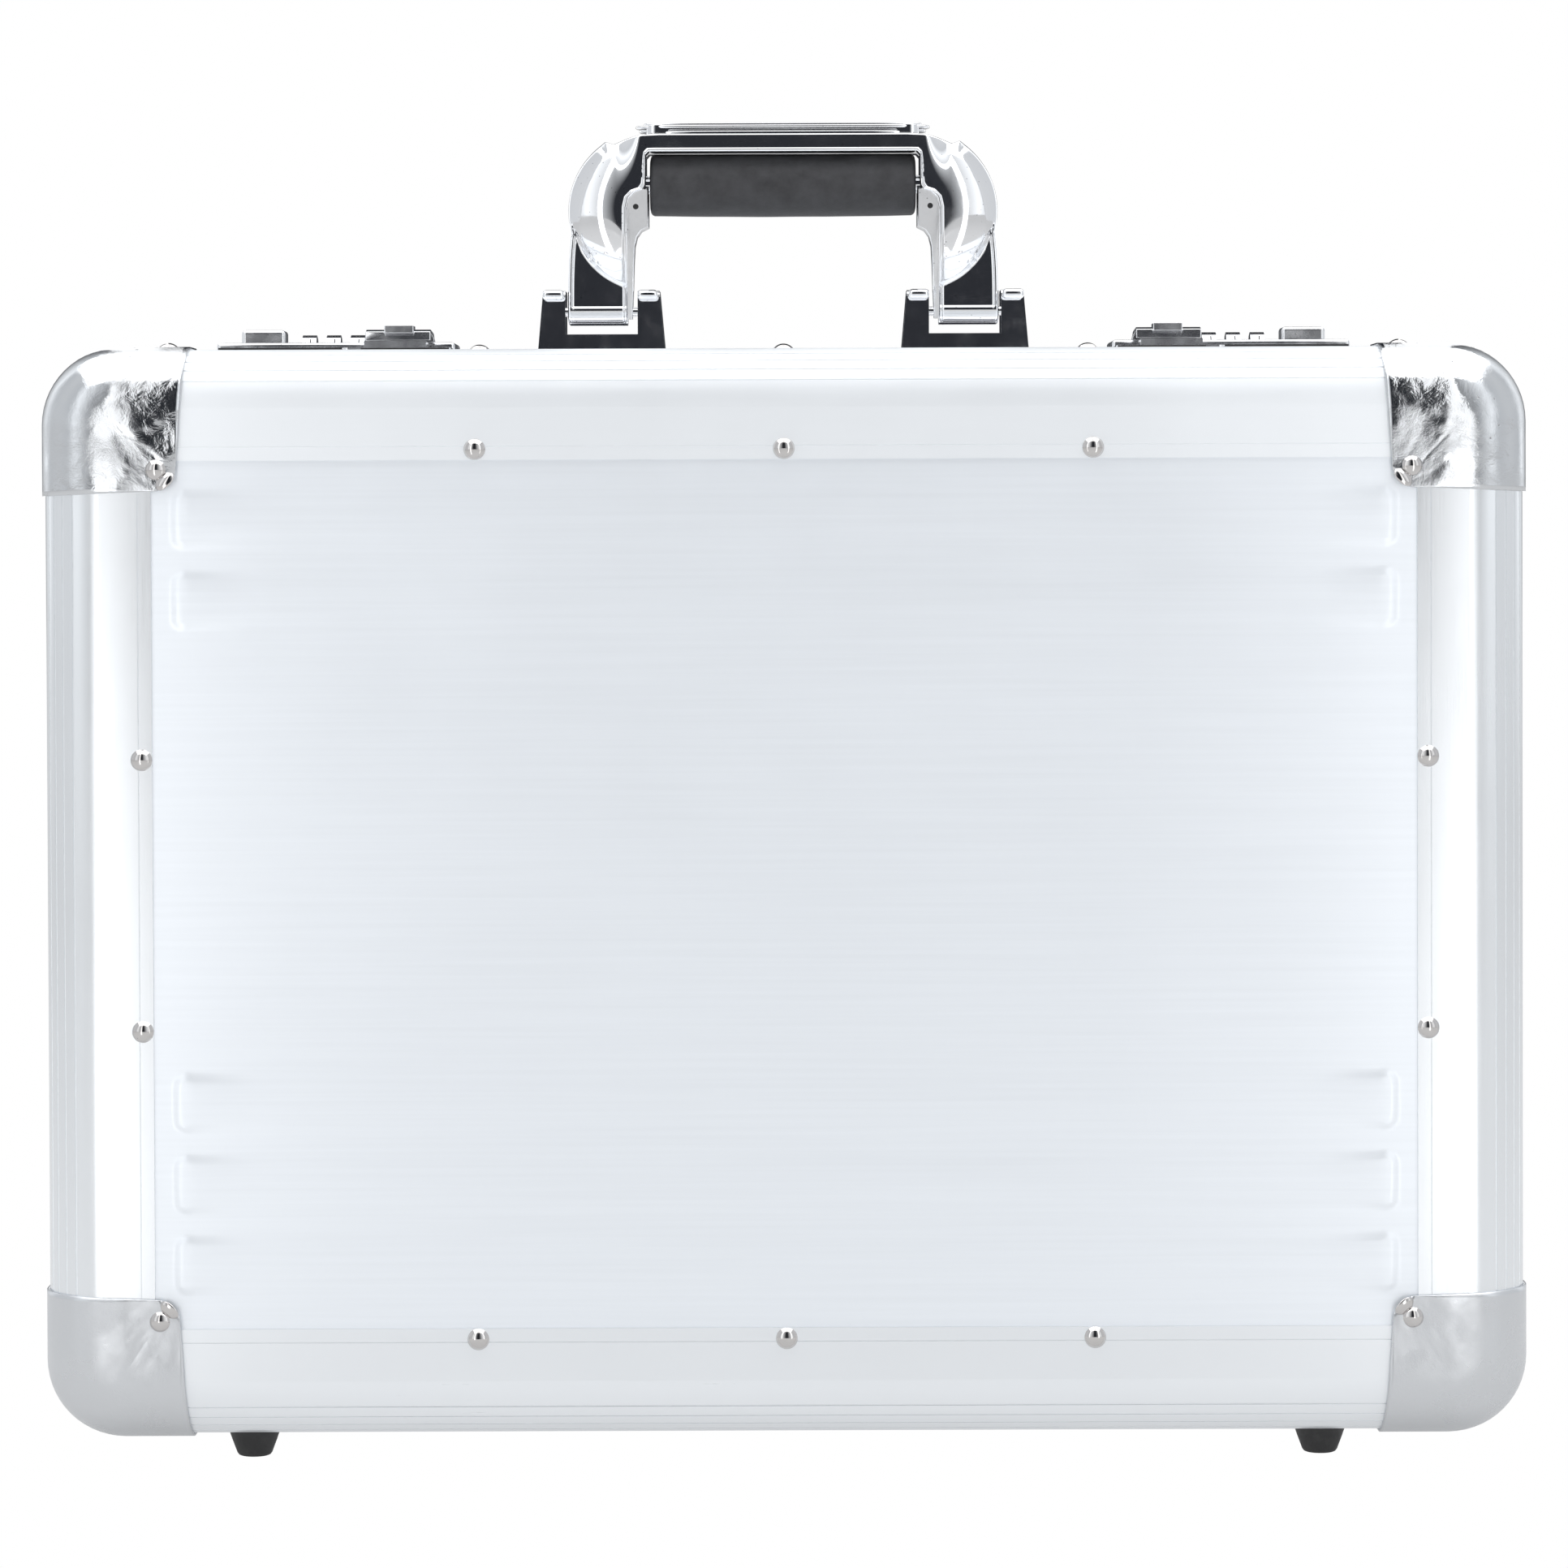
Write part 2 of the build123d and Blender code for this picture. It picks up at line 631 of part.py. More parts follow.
def make_hinge_pin():
    with BuildPart() as pin:
        rod((-HINGE_LENGTH / 2, HINGE_LENGTH / 2), SEAM, HINGE_HEIGHT, HINGE_PIN_RADIUS)
    save(pin, "hinge_pin")


# Lid stays

def make_stay(side_name, side):
    """Slotted arm from its pivot on the lid, through its slot on the base's stud."""
    pivot_y = SEAM - STAY_REACH
    start, end = STAY_SLOT
    plane = Plane(origin=(side * STAY_PLANE, pivot_y, STAY_HEIGHT), x_dir=(0, 1, 0), z_dir=(1, 0, 0))
    bore = STUD_RADIUS + STUD_CLEARANCE
    with BuildPart() as stay:
        with BuildSketch(plane):
            with Locations((end / 2, 0)):
                SlotCenterToCenter(end, 2 * STAY_HALF_TALL)
            Circle(bore, mode=Mode.SUBTRACT)
            with Locations(((start + end) / 2, 0)):
                SlotCenterToCenter(end - start, 2 * bore, mode=Mode.SUBTRACT)
        extrude(amount=STAY_THICKNESS / 2, both=True)
    save(stay, f"lid_stay_{side_name}")


def make_stay_studs(name, half):
    """A stud on each side wall: washer, shank and head."""
    y = SEAM - half * STAY_REACH
    wall = HALF_WIDTH - LINING_OUT - LINING_THICKNESS
    near = STAY_PLANE + STAY_THICKNESS / 2 + STAY_GAP
    far = STAY_PLANE - STAY_THICKNESS / 2 - STAY_GAP
    with BuildPart() as studs:
        for side in SIDES.values():
            rod(span(side, (near, wall)), y, STAY_HEIGHT, STUD_WASHER)
            rod(span(side, (far, near)), y, STAY_HEIGHT, STUD_RADIUS)
            rod(span(side, (far - STUD_HEAD_THICKNESS, far)), y, STAY_HEIGHT, STUD_HEAD)
    save(studs, f"{name}_stay_studs")


def make_organiser():
    """Document pocket on the lid's floor, open at the top."""
    floor = at_depth(LID, LINING_OUT + LINING_THICKNESS)
    front = floor + POCKET_GAP
    x_span = (-POCKET_HALF_WIDTH, POCKET_HALF_WIDTH)
    hollow_x = (POCKET_WALL - POCKET_HALF_WIDTH, POCKET_HALF_WIDTH - POCKET_WALL)
    with BuildPart() as organiser:
        block(x_span, (floor, front + POCKET_WALL), (POCKET_BOTTOM, POCKET_TOP))
        block(hollow_x, (floor, front), (POCKET_BOTTOM + POCKET_WALL, POCKET_TOP), mode=Mode.SUBTRACT)
    save(organiser, "lid_organiser")


# Handle

def make_bracket(side_name, side):
    """Die-cast clevis, notched for the handle's leg."""
    centre = side * BRACKET_X
    panel = TOP - PANEL_OUT
    with BuildPart() as bracket:
        with BuildSketch(Plane.XZ.offset(-HANDLE_Y)):
            with BuildLine():
                Polyline((centre - BRACKET_FOOT, panel), (centre + BRACKET_FOOT, panel),
                         (centre + BRACKET_HEAD, BRACKET_TOP), (centre - BRACKET_HEAD, BRACKET_TOP),
                         close=True)
            make_face()
        extrude(amount=BRACKET_DEPTH / 2, both=True)
        top = bracket.faces().sort_by(Axis.Z)[-1]
        fillet(top.edges().filter_by(Axis.X), BRACKET_ROUNDING)
        y_span = (HANDLE_Y - BRACKET_DEPTH, HANDLE_Y + BRACKET_DEPTH)
        block(span(side, NOTCH), y_span, (NOTCH_BOTTOM, BRACKET_TOP + PROUD), mode=Mode.SUBTRACT)
        rod(span(side, PIVOT_SPAN), HANDLE_Y, PIVOT_HEIGHT, PIVOT_RADIUS, mode=Mode.SUBTRACT)
    save(bracket, f"handle_bracket_{side_name}")


def make_pivot_pins():
    with BuildPart() as pins:
        for side in SIDES.values():
            rod(span(side, PIVOT_SPAN), HANDLE_Y, PIVOT_HEIGHT, PIVOT_RADIUS)
    save(pins, "handle_pivot_pins")


def frame_outline():
    """Right half of the handle's frame, seen from the front."""
    with BuildLine() as shape:
        Polyline((0, SOCKET_TOP), (SOCKET_HALF_WIDTH, SOCKET_TOP), (SOCKET_HALF_WIDTH, SHOULDER_TOP),
                 (LEG_INNER, SHOULDER_BOTTOM), (LEG_INNER, LEG_BOTTOM), (HANDLE_HALF_WIDTH, LEG_BOTTOM),
                 (HANDLE_HALF_WIDTH, ARM_STRAIGHT_TOP))
        ThreePointArc((HANDLE_HALF_WIDTH, ARM_STRAIGHT_TOP), ARM_MIDWAY, ARM_CORNER)
        Polyline(ARM_CORNER, (RIDGE_HALF_WIDTH, FRAME_TOP), (0, FRAME_TOP), (0, SOCKET_TOP))
    make_face(shape.edges())


def frame_profile():
    """The frame seen from the side: round at its pivot, then widening to its full depth."""
    right = [(HANDLE_Y + reach, z) for reach, z in FRAME_PROFILE]
    left = [(HANDLE_Y - reach, z) for reach, z in reversed(FRAME_PROFILE)]
    with BuildLine() as shape:
        Polyline(right + left)
        ThreePointArc(left[-1], (HANDLE_Y, LEG_BOTTOM), right[0])
    make_face(shape.edges())


def make_handle_frame():
    with BuildPart() as frame:
        with BuildSketch(Plane.XZ.offset(-HANDLE_Y)):
            frame_outline()
            mirror(about=Plane.YZ)
        extrude(amount=HANDLE_DEPTH / 2, both=True)
        with BuildSketch(Plane.YZ):
            frame_profile()
        extrude(amount=HANDLE_HALF_WIDTH + PROUD, both=True, mode=Mode.INTERSECT)
        with BuildSketch(Plane.XZ.offset(-HANDLE_Y)):
            with BuildLine():
                Line((-RIDGE_HALF_WIDTH, FRAME_TOP), (RIDGE_HALF_WIDTH, FRAME_TOP))
                Line((RIDGE_HALF_WIDTH, FRAME_TOP), (RIDGE_FLAT, RIDGE_TOP))
                Line((RIDGE_FLAT, RIDGE_TOP), (-RIDGE_FLAT, RIDGE_TOP))
                Line((-RIDGE_FLAT, RIDGE_TOP), (-RIDGE_HALF_WIDTH, FRAME_TOP))
            make_face()
        extrude(amount=RIDGE_DEPTH / 2, both=True)
        rod((-CORE_HALF_LENGTH, CORE_HALF_LENGTH), HANDLE_Y, GRIP_HEIGHT, CORE_RADIUS, mode=Mode.SUBTRACT)
        for side in SIDES.values():
            rod(span(side, NOTCH), HANDLE_Y, PIVOT_HEIGHT, PIVOT_BORE, mode=Mode.SUBTRACT)
    save(frame, "handle_frame")


def make_grip():
    with BuildPart() as core:
        rod((-CORE_HALF_LENGTH, CORE_HALF_LENGTH), HANDLE_Y, GRIP_HEIGHT, CORE_RADIUS)
    save(core, "grip_core")
    with BuildPart() as grip:
        rod((-GRIP_HALF_WIDTH, GRIP_HALF_WIDTH), HANDLE_Y, GRIP_HEIGHT, GRIP_RADIUS)
        fillet(grip.edges(), GRIP_ROUNDING)
        rod((-GRIP_HALF_WIDTH, GRIP_HALF_WIDTH), HANDLE_Y, GRIP_HEIGHT, CORE_RADIUS, mode=Mode.SUBTRACT)
    save(grip, "handle_grip")


# Locks

def dial_centre(index):
    return DIAL_FIRST + DIAL_PITCH * index


def make_lock_case(side_name, side):
    """Lock body let into the base's top, with its dial wells, hasp pocket and button slot."""
    with BuildPart() as case:
        block(span(side, LOCK_X), LOCK_Y, (TOP, LOCK_TOP))
        upper = case.edges().filter_by(Axis.Z) + case.faces().sort_by(Axis.Z)[-1].edges()
        fillet(upper, LOCK_ROUNDING)
        block(span(side, LOCK_FLANGE_X), LOCK_FLANGE_Y, (TOP - PANEL_OUT, TOP))
        block(span(side, LOCK_BODY_X), LOCK_BODY_Y, (LOCK_BODY_BOTTOM, TOP))
        pocket_z = (HASP_POCKET_FLOOR, LOCK_TOP + PROUD)
        block(span(side, HASP_POCKET_X), HASP_POCKET_Y, pocket_z, mode=Mode.SUBTRACT)
        for index in range(DIALS):
            x = dial_centre(index)
            slot = span(side, (x - DIAL_SLOT / 2, x + DIAL_SLOT / 2))
            well = (DIAL_Y - DIAL_WELL, DIAL_Y + DIAL_WELL)
            block(slot, well, (DIAL_WELL_BOTTOM, LOCK_TOP + PROUD), mode=Mode.SUBTRACT)
        button_z = (BUTTON_SLOT_BOTTOM, LOCK_TOP + PROUD)
        block(span(side, BUTTON_SLOT_X), BUTTON_SLOT_Y, button_z, mode=Mode.SUBTRACT)
        rod(span(side, AXLE_SPAN), DIAL_Y, DIAL_HEIGHT, AXLE_RADIUS, mode=Mode.SUBTRACT)
        rod(span(side, HASP_PIN_SPAN), *HASP_PIVOT, HASP_PIN_RADIUS, mode=Mode.SUBTRACT)
    save(case, f"lock_case_{side_name}")


def make_hasp(side_name, side):
    """Hinged hasp that reaches over the lid's strike, with a raised thumb tab."""
    low, high = sorted(span(side, HASP_X))
    with BuildPart() as hasp:
        with BuildSketch(Plane.YZ.offset(low)):
            with BuildLine():
                Polyline(HASP_PROFILE, close=True)
            make_face()
            with Locations(HASP_PIVOT):
                Circle(HASP_BARREL)
        extrude(amount=high - low)
        block(span(side, THUMB_X), THUMB_Y, THUMB_Z)
        rod(span(side, HASP_X), *HASP_PIVOT, HASP_BORE, mode=Mode.SUBTRACT)
    save(hasp, f"hasp_{side_name}")


def make_button(side_name, side):
    with BuildPart() as button:
        block(span(side, BUTTON_X), BUTTON_Y, (BUTTON_BOTTOM, BUTTON_TOP))
        top = button.faces().sort_by(Axis.Z)[-1]
        fillet(button.edges().filter_by(Axis.Z) + top.edges(), BUTTON_ROUNDING)
        block(span(side, BUTTON_SHANK_X), BUTTON_SHANK_Y, (BUTTON_SHANK_BOTTOM, BUTTON_BOTTOM))
    save(button, f"slide_button_{side_name}")


def make_dial(side_name, side, index):
    centre = side * dial_centre(index)
    hub = Plane(origin=(centre, DIAL_Y, DIAL_HEIGHT), x_dir=(0, 1, 0), z_dir=(1, 0, 0))
    with BuildPart() as dial:
        with BuildSketch(hub):
            RegularPolygon(DIAL_RADIUS, DIAL_FACETS, rotation=180 / DIAL_FACETS)
            Circle(AXLE_BORE, mode=Mode.SUBTRACT)
        extrude(amount=DIAL_WIDTH / 2, both=True)
    save(dial, f"dial_{side_name}_{index + 1}")


def make_strike(side_name, side):
    """Strike plate on the lid, under the hasp's end."""
    with BuildPart() as strike:
        block(span(side, STRIKE_X), STRIKE_Y, (TOP, TOP + STRIKE_PLATE))
        fillet(strike.edges().filter_by(Axis.Z), STRIKE_ROUNDING)
        block(span(side, STRIKE_BLOCK_X), STRIKE_BLOCK_Y, (TOP + STRIKE_PLATE, STRIKE_TOP))
    save(strike, f"strike_plate_{side_name}")


def make_lock_pins():
    """The dials' axles and the hasps' pins, fixed in the lock cases."""
    with BuildPart() as axles:
        for side in SIDES.values():
            rod(span(side, AXLE_SPAN), DIAL_Y, DIAL_HEIGHT, AXLE_RADIUS)
    save(axles, "dial_axles")
    with BuildPart() as pins:
        for side in SIDES.values():
            rod(span(side, HASP_PIN_SPAN), *HASP_PIVOT, HASP_PIN_RADIUS)
    save(pins, "hasp_pins")


for half_name, half_side in HALVES.items():
    make_half(half_name, half_side)
    make_hinge_leaf(half_name, half_side)
    make_hinge_rivets(half_name, half_side)
    make_stay_studs(half_name, half_side)
make_hinge_pin()
make_organiser()
make_handle_frame()
make_grip()
make_pivot_pins()
make_lock_pins()
for lock_name, lock_side in SIDES.items():
    make_stay(lock_name, lock_side)
    make_bracket(lock_name, lock_side)
    make_lock_case(lock_name, lock_side)
    make_hasp(lock_name, lock_side)
    make_button(lock_name, lock_side)
    make_strike(lock_name, lock_side)
    for dial_index in range(DIALS):
        make_dial(lock_name, lock_side, dial_index)
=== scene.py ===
import json
from math import atan2, cos, degrees, hypot, pi, radians, sin, sqrt

import bmesh
import bpy
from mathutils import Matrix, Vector, noise


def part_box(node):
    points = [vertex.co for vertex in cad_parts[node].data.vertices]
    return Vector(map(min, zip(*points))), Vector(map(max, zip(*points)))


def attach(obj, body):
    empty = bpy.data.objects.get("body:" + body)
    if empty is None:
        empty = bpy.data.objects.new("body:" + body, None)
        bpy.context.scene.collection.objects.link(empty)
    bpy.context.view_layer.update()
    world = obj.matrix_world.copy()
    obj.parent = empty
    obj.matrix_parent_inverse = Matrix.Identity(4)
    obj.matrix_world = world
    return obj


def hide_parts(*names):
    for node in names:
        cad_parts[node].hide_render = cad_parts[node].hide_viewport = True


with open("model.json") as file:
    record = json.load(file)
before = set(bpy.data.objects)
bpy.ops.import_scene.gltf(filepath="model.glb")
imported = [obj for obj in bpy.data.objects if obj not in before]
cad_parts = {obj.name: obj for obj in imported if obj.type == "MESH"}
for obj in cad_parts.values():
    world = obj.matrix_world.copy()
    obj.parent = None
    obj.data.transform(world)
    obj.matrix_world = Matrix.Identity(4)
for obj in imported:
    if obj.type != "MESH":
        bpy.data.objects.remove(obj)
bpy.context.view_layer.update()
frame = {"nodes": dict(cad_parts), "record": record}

MM = 0.001
NODES = frame["nodes"]
HALVES = {"lid": 1, "base": -1}      # which way is inwards along Y
SIDES = {"left": -1, "right": 1}


# ---------------------------------------------------------------- node helpers

class Shader:
    """A node material, with short calls for the few nodes that the materials here use."""

    def __init__(self, name, metallic, roughness, colour):
        self.material = bpy.data.materials.new(name)
        self.material.use_nodes = True
        self.tree = self.material.node_tree
        self.bsdf = self.tree.nodes["Principled BSDF"]
        self.bsdf.inputs["Metallic"].default_value = metallic
        self.bsdf.inputs["Roughness"].default_value = roughness
        self.bsdf.inputs["Base Color"].default_value = (*colour, 1)
        self.coordinates = self.tree.nodes.new("ShaderNodeTexCoord").outputs["Object"]
        self.normal = None

    def link(self, source, target):
        self.tree.links.new(source, target)

    def stretched(self, scale):
        """Object coordinates times a scale for each axis, so that noise runs in streaks."""
        mapping = self.tree.nodes.new("ShaderNodeMapping")
        mapping.inputs["Scale"].default_value = scale
        self.link(self.coordinates, mapping.inputs["Vector"])
        return mapping.outputs["Vector"]

    def noise(self, scale, detail=3, roughness=0.5, vector=None, distortion=0.0):
        texture = self.tree.nodes.new("ShaderNodeTexNoise")
        texture.inputs["Scale"].default_value = scale
        texture.inputs["Detail"].default_value = detail
        texture.inputs["Roughness"].default_value = roughness
        texture.inputs["Distortion"].default_value = distortion
        self.link(vector or self.coordinates, texture.inputs["Vector"])
        return texture.outputs["Fac"]

    def cells(self, scale, feature="F1"):
        texture = self.tree.nodes.new("ShaderNodeTexVoronoi")
        texture.feature = feature
        texture.inputs["Scale"].default_value = scale
        self.link(self.coordinates, texture.inputs["Vector"])
        return texture.outputs["Distance"]

    def span(self, value, from_low, from_high, to_low, to_high):
        """Map a value from one range to another, clamped."""
        remap = self.tree.nodes.new("ShaderNodeMapRange")
        remap.inputs["From Min"].default_value = from_low
        remap.inputs["From Max"].default_value = from_high
        remap.inputs["To Min"].default_value = to_low
        remap.inputs["To Max"].default_value = to_high
        self.link(value, remap.inputs["Value"])
        return remap.outputs["Result"]

    def times(self, first, second):
        maths = self.tree.nodes.new("ShaderNodeMath")
        maths.operation = "MULTIPLY"
        self.link(first, maths.inputs[0])
        self.link(second, maths.inputs[1])
        return maths.outputs["Value"]

    def colours(self, factor, low, high, from_low=0.0, from_high=1.0):
        """Blend two colours by a factor and feed the base colour."""
        ramp = self.tree.nodes.new("ShaderNodeValToRGB")
        ramp.color_ramp.elements[0].position = from_low
        ramp.color_ramp.elements[1].position = from_high
        ramp.color_ramp.elements[0].color = (*low, 1)
        ramp.color_ramp.elements[1].color = (*high, 1)
        self.link(factor, ramp.inputs["Fac"])
        self.link(ramp.outputs["Color"], self.bsdf.inputs["Base Color"])

    def roughness(self, value):
        self.link(value, self.bsdf.inputs["Roughness"])

    def bump(self, height, distance, strength=1.0):
        """Add a height to the surface, in metres, on top of the bumps already there."""
        node = self.tree.nodes.new("ShaderNodeBump")
        node.inputs["Strength"].default_value = strength
        node.inputs["Distance"].default_value = distance
        self.link(height, node.inputs["Height"])
        if self.normal:
            self.link(self.normal, node.inputs["Normal"])
        self.normal = node.outputs["Normal"]
        self.link(self.normal, self.bsdf.inputs["Normal"])


# ---------------------------------------------------------------- materials

def brushed_aluminium(name, along, colour, roughness, metallic, brushing):
    """Aluminium with fine grain along one axis, faint smears and a little waviness."""
    shader = Shader(name, metallic, roughness, colour)
    fine = [2600.0] * 3
    coarse = [620.0] * 3
    fine["XYZ".index(along)] = 28.0
    coarse["XYZ".index(along)] = 9.0
    grain = shader.noise(1.0, 4, 0.6, shader.stretched(fine))
    bands = shader.noise(1.0, 3, 0.55, shader.stretched(coarse))
    smears = shader.noise(14.0, 3, 0.5)
    low = [c * (1 - 0.03 * brushing) for c in colour]
    high = [min(1.0, c * (1 + 0.012 * brushing)) for c in colour]
    shader.colours(bands, low, high, 0.3, 0.7)
    shader.roughness(shader.span(shader.times(grain, smears), 0.1, 0.42, roughness - 0.05, roughness + 0.06))
    shader.bump(grain, 0.000008 * brushing)
    shader.bump(bands, 0.000004 * brushing)
    shader.bump(smears, 0.0003, 0.2)
    return shader.material


def plated_steel(name, roughness, dents=1.0, pitting=1.0):
    """Bright plating with shallow wrinkles, and pits and stains in patches."""
    colour = (0.70, 0.715, 0.735)
    shader = Shader(name, 1.0, roughness, colour)
    patches = shader.noise(55.0, 3, 0.6)
    wrinkles = shader.noise(210.0, 4, 0.6, distortion=0.6)
    speckle = shader.noise(1500.0, 5, 0.7)
    mask = shader.span(patches, 0.46, 0.62, 0.0, 1.0)
    shader.bump(shader.noise(38.0, 2, 0.5), 0.0010 * dents, 0.5)
    shader.bump(wrinkles, 0.00022 * dents, 0.5)
    shader.bump(shader.times(speckle, mask), 0.00010, 0.7)
    spots = shader.span(shader.cells(330.0), 0.08, 0.16, pitting, 0.0)
    where = shader.span(shader.noise(34.0, 2, 0.5), 0.53, 0.60, 0.0, 1.0)
    pits = shader.times(shader.times(spots, where), shader.span(speckle, 0.40, 0.55, 0.0, 1.0))
    shader.colours(pits, colour, (0.13, 0.125, 0.12))
    shader.bump(pits, -0.0003, 0.6)
    shader.roughness(shader.span(patches, 0.40, 0.65, roughness, roughness + 0.12))
    return shader.material


def chrome(name, roughness, colour=(0.89, 0.895, 0.91)):
    """Polished plating with handling haze, hairline scratches and rare pits."""
    shader = Shader(name, 1.0, roughness, colour)
    haze = shader.noise(120.0, 4, 0.6)
    hairs = shader.noise(1.0, 2, 0.5, shader.stretched((180.0, 180.0, 5200.0)))
    shader.roughness(shader.span(haze, 0.4, 0.75, roughness, roughness + 0.10))
    shader.bump(haze, 0.00003, 0.12)
    shader.bump(hairs, 0.000001, 0.3)
    pits = shader.span(shader.cells(420.0), 0.05, 0.10, 0.0, 1.0)
    shader.colours(pits, (0.34, 0.34, 0.36), colour)
    return shader.material


def black_leather(name, pebbles):
    """Matte black leather-look cover: fine pebble grain with a slight worn sheen."""
    shader = Shader(name, 0.0, 0.5, (0.020, 0.020, 0.023))
    grain = shader.cells(pebbles, "SMOOTH_F1")
    tone = shader.noise(160.0, 4, 0.6)
    shader.colours(tone, (0.026, 0.026, 0.028), (0.050, 0.050, 0.054), 0.3, 0.7)
    shader.roughness(shader.span(tone, 0.3, 0.7, 0.46, 0.62))
    shader.bump(grain, 0.00008, 0.7)
    shader.bump(tone, 0.0002, 0.3)
    shader.bsdf.inputs["Specular IOR Level"].default_value = 0.42
    return shader.material


# Black rubber for the feet; the same material gives the dials' black figures and is the painted shade in the
# hood slots, screw holes and strips under the lock plates.
def rubber():
    shader = Shader("foot_rubber", 0.0, 0.55, (0.022, 0.022, 0.023))
    grain = shader.noise(1400.0, 4, 0.6)
    dust = shader.noise(240.0, 4, 0.65)
    shader.colours(dust, (0.018, 0.018, 0.019), (0.042, 0.042, 0.042), 0.45, 0.8)
    shader.roughness(shader.span(dust, 0.3, 0.7, 0.42, 0.66))
    shader.bump(grain, 0.00006, 0.6)
    return shader.material


def woven(name, low, high):
    """Matte woven cloth or thread."""
    shader = Shader(name, 0.0, 0.85, high)
    weave = shader.tree.nodes.new("ShaderNodeTexWave")
    weave.inputs["Scale"].default_value = 380.0
    weave.inputs["Distortion"].default_value = 1.4
    shader.link(shader.coordinates, weave.inputs["Vector"])
    tone = shader.noise(300.0, 5, 0.7)
    shader.colours(tone, low, high, 0.3, 0.7)
    shader.bump(weave.outputs["Fac"], 0.00009, 0.5)
    shader.bump(tone, 0.00012, 0.6)
    shader.bsdf.inputs["Sheen Weight"].default_value = 0.25
    return shader.material


MATERIALS = {
    "panel": brushed_aluminium("panel_aluminium", "X", (0.875, 0.908, 0.948), 0.38, 0.5, 0.7),
    "side_panel": brushed_aluminium("side_panel_aluminium", "X", (0.88, 0.90, 0.92), 0.40, 0.5, 1.0),
    "edge_x": brushed_aluminium("edge_aluminium_across", "X", (0.893, 0.917, 0.942), 0.44, 0.5, 0.12),
    "edge_low": brushed_aluminium("edge_aluminium_below", "X", (0.893, 0.917, 0.942), 0.32, 0.7, 0.03),
    "edge_z": brushed_aluminium("edge_aluminium_upright", "Z", (0.893, 0.917, 0.942), 0.22, 0.95, 0.12),
    "corner": plated_steel("corner_steel", 0.08),
    "corner_satin": plated_steel("corner_steel_satin", 0.26, 0.4, pitting=0.0),
    "hinge": plated_steel("hinge_steel", 0.25, 0.3),
    "chrome": chrome("handle_chrome", 0.035),
    "lock": chrome("lock_chrome", 0.17),
    "dial": chrome("dial_chrome", 0.16),
    "rivet": chrome("rivet_chrome", 0.05, (0.66, 0.64, 0.63)),
    "grip": black_leather("grip_leather", 2300.0),
    "organiser": black_leather("organiser_leather", 1300.0),
    "rubber": rubber(),
    "lining": woven("lining_cloth", (0.020, 0.020, 0.023), (0.052, 0.052, 0.057)),
    "thread": woven("stitch_thread", (0.15, 0.15, 0.155), (0.26, 0.26, 0.27)),
}


def dress(node, key):
    """Give a CAD node's object one of the materials."""
    slots = NODES[node].data.materials
    slots.clear()
    slots.append(MATERIALS[key])


def material_key(node):
    if node.endswith("face_panel"):
        return "panel"
    if node.endswith("side_panels"):
        return "side_panel"
    if "_edge_" in node or node.endswith("rim_frame"):
        if node.endswith("bottom"):
            return "edge_low"
        return "edge_z" if node.endswith(("left", "right")) else "edge_x"
    if "_corner_" in node:
        return "corner"
    if node.endswith("rivets"):
        return "rivet"
    if node.endswith("_feet"):
        return "rubber"
    if node == "lid_organiser":
        return "organiser"
    if node.endswith("_lining"):
        return "lining"
    if node.startswith("hinge_") or "stay" in node:
        return "hinge"
    if node == "handle_grip":
        return "grip"
    if node.startswith("handle_") or node == "grip_core":
        return "chrome"
    if node.startswith("dial_") and node != "dial_axles":
        return "dial"
    return "lock"


for node_name in NODES:
    dress(node_name, material_key(node_name))


# ---------------------------------------------------------------- mesh helpers

BODY_OF = {node: body for body, nodes in frame["record"]["behaviour"]["bodies"].items() for node in nodes}


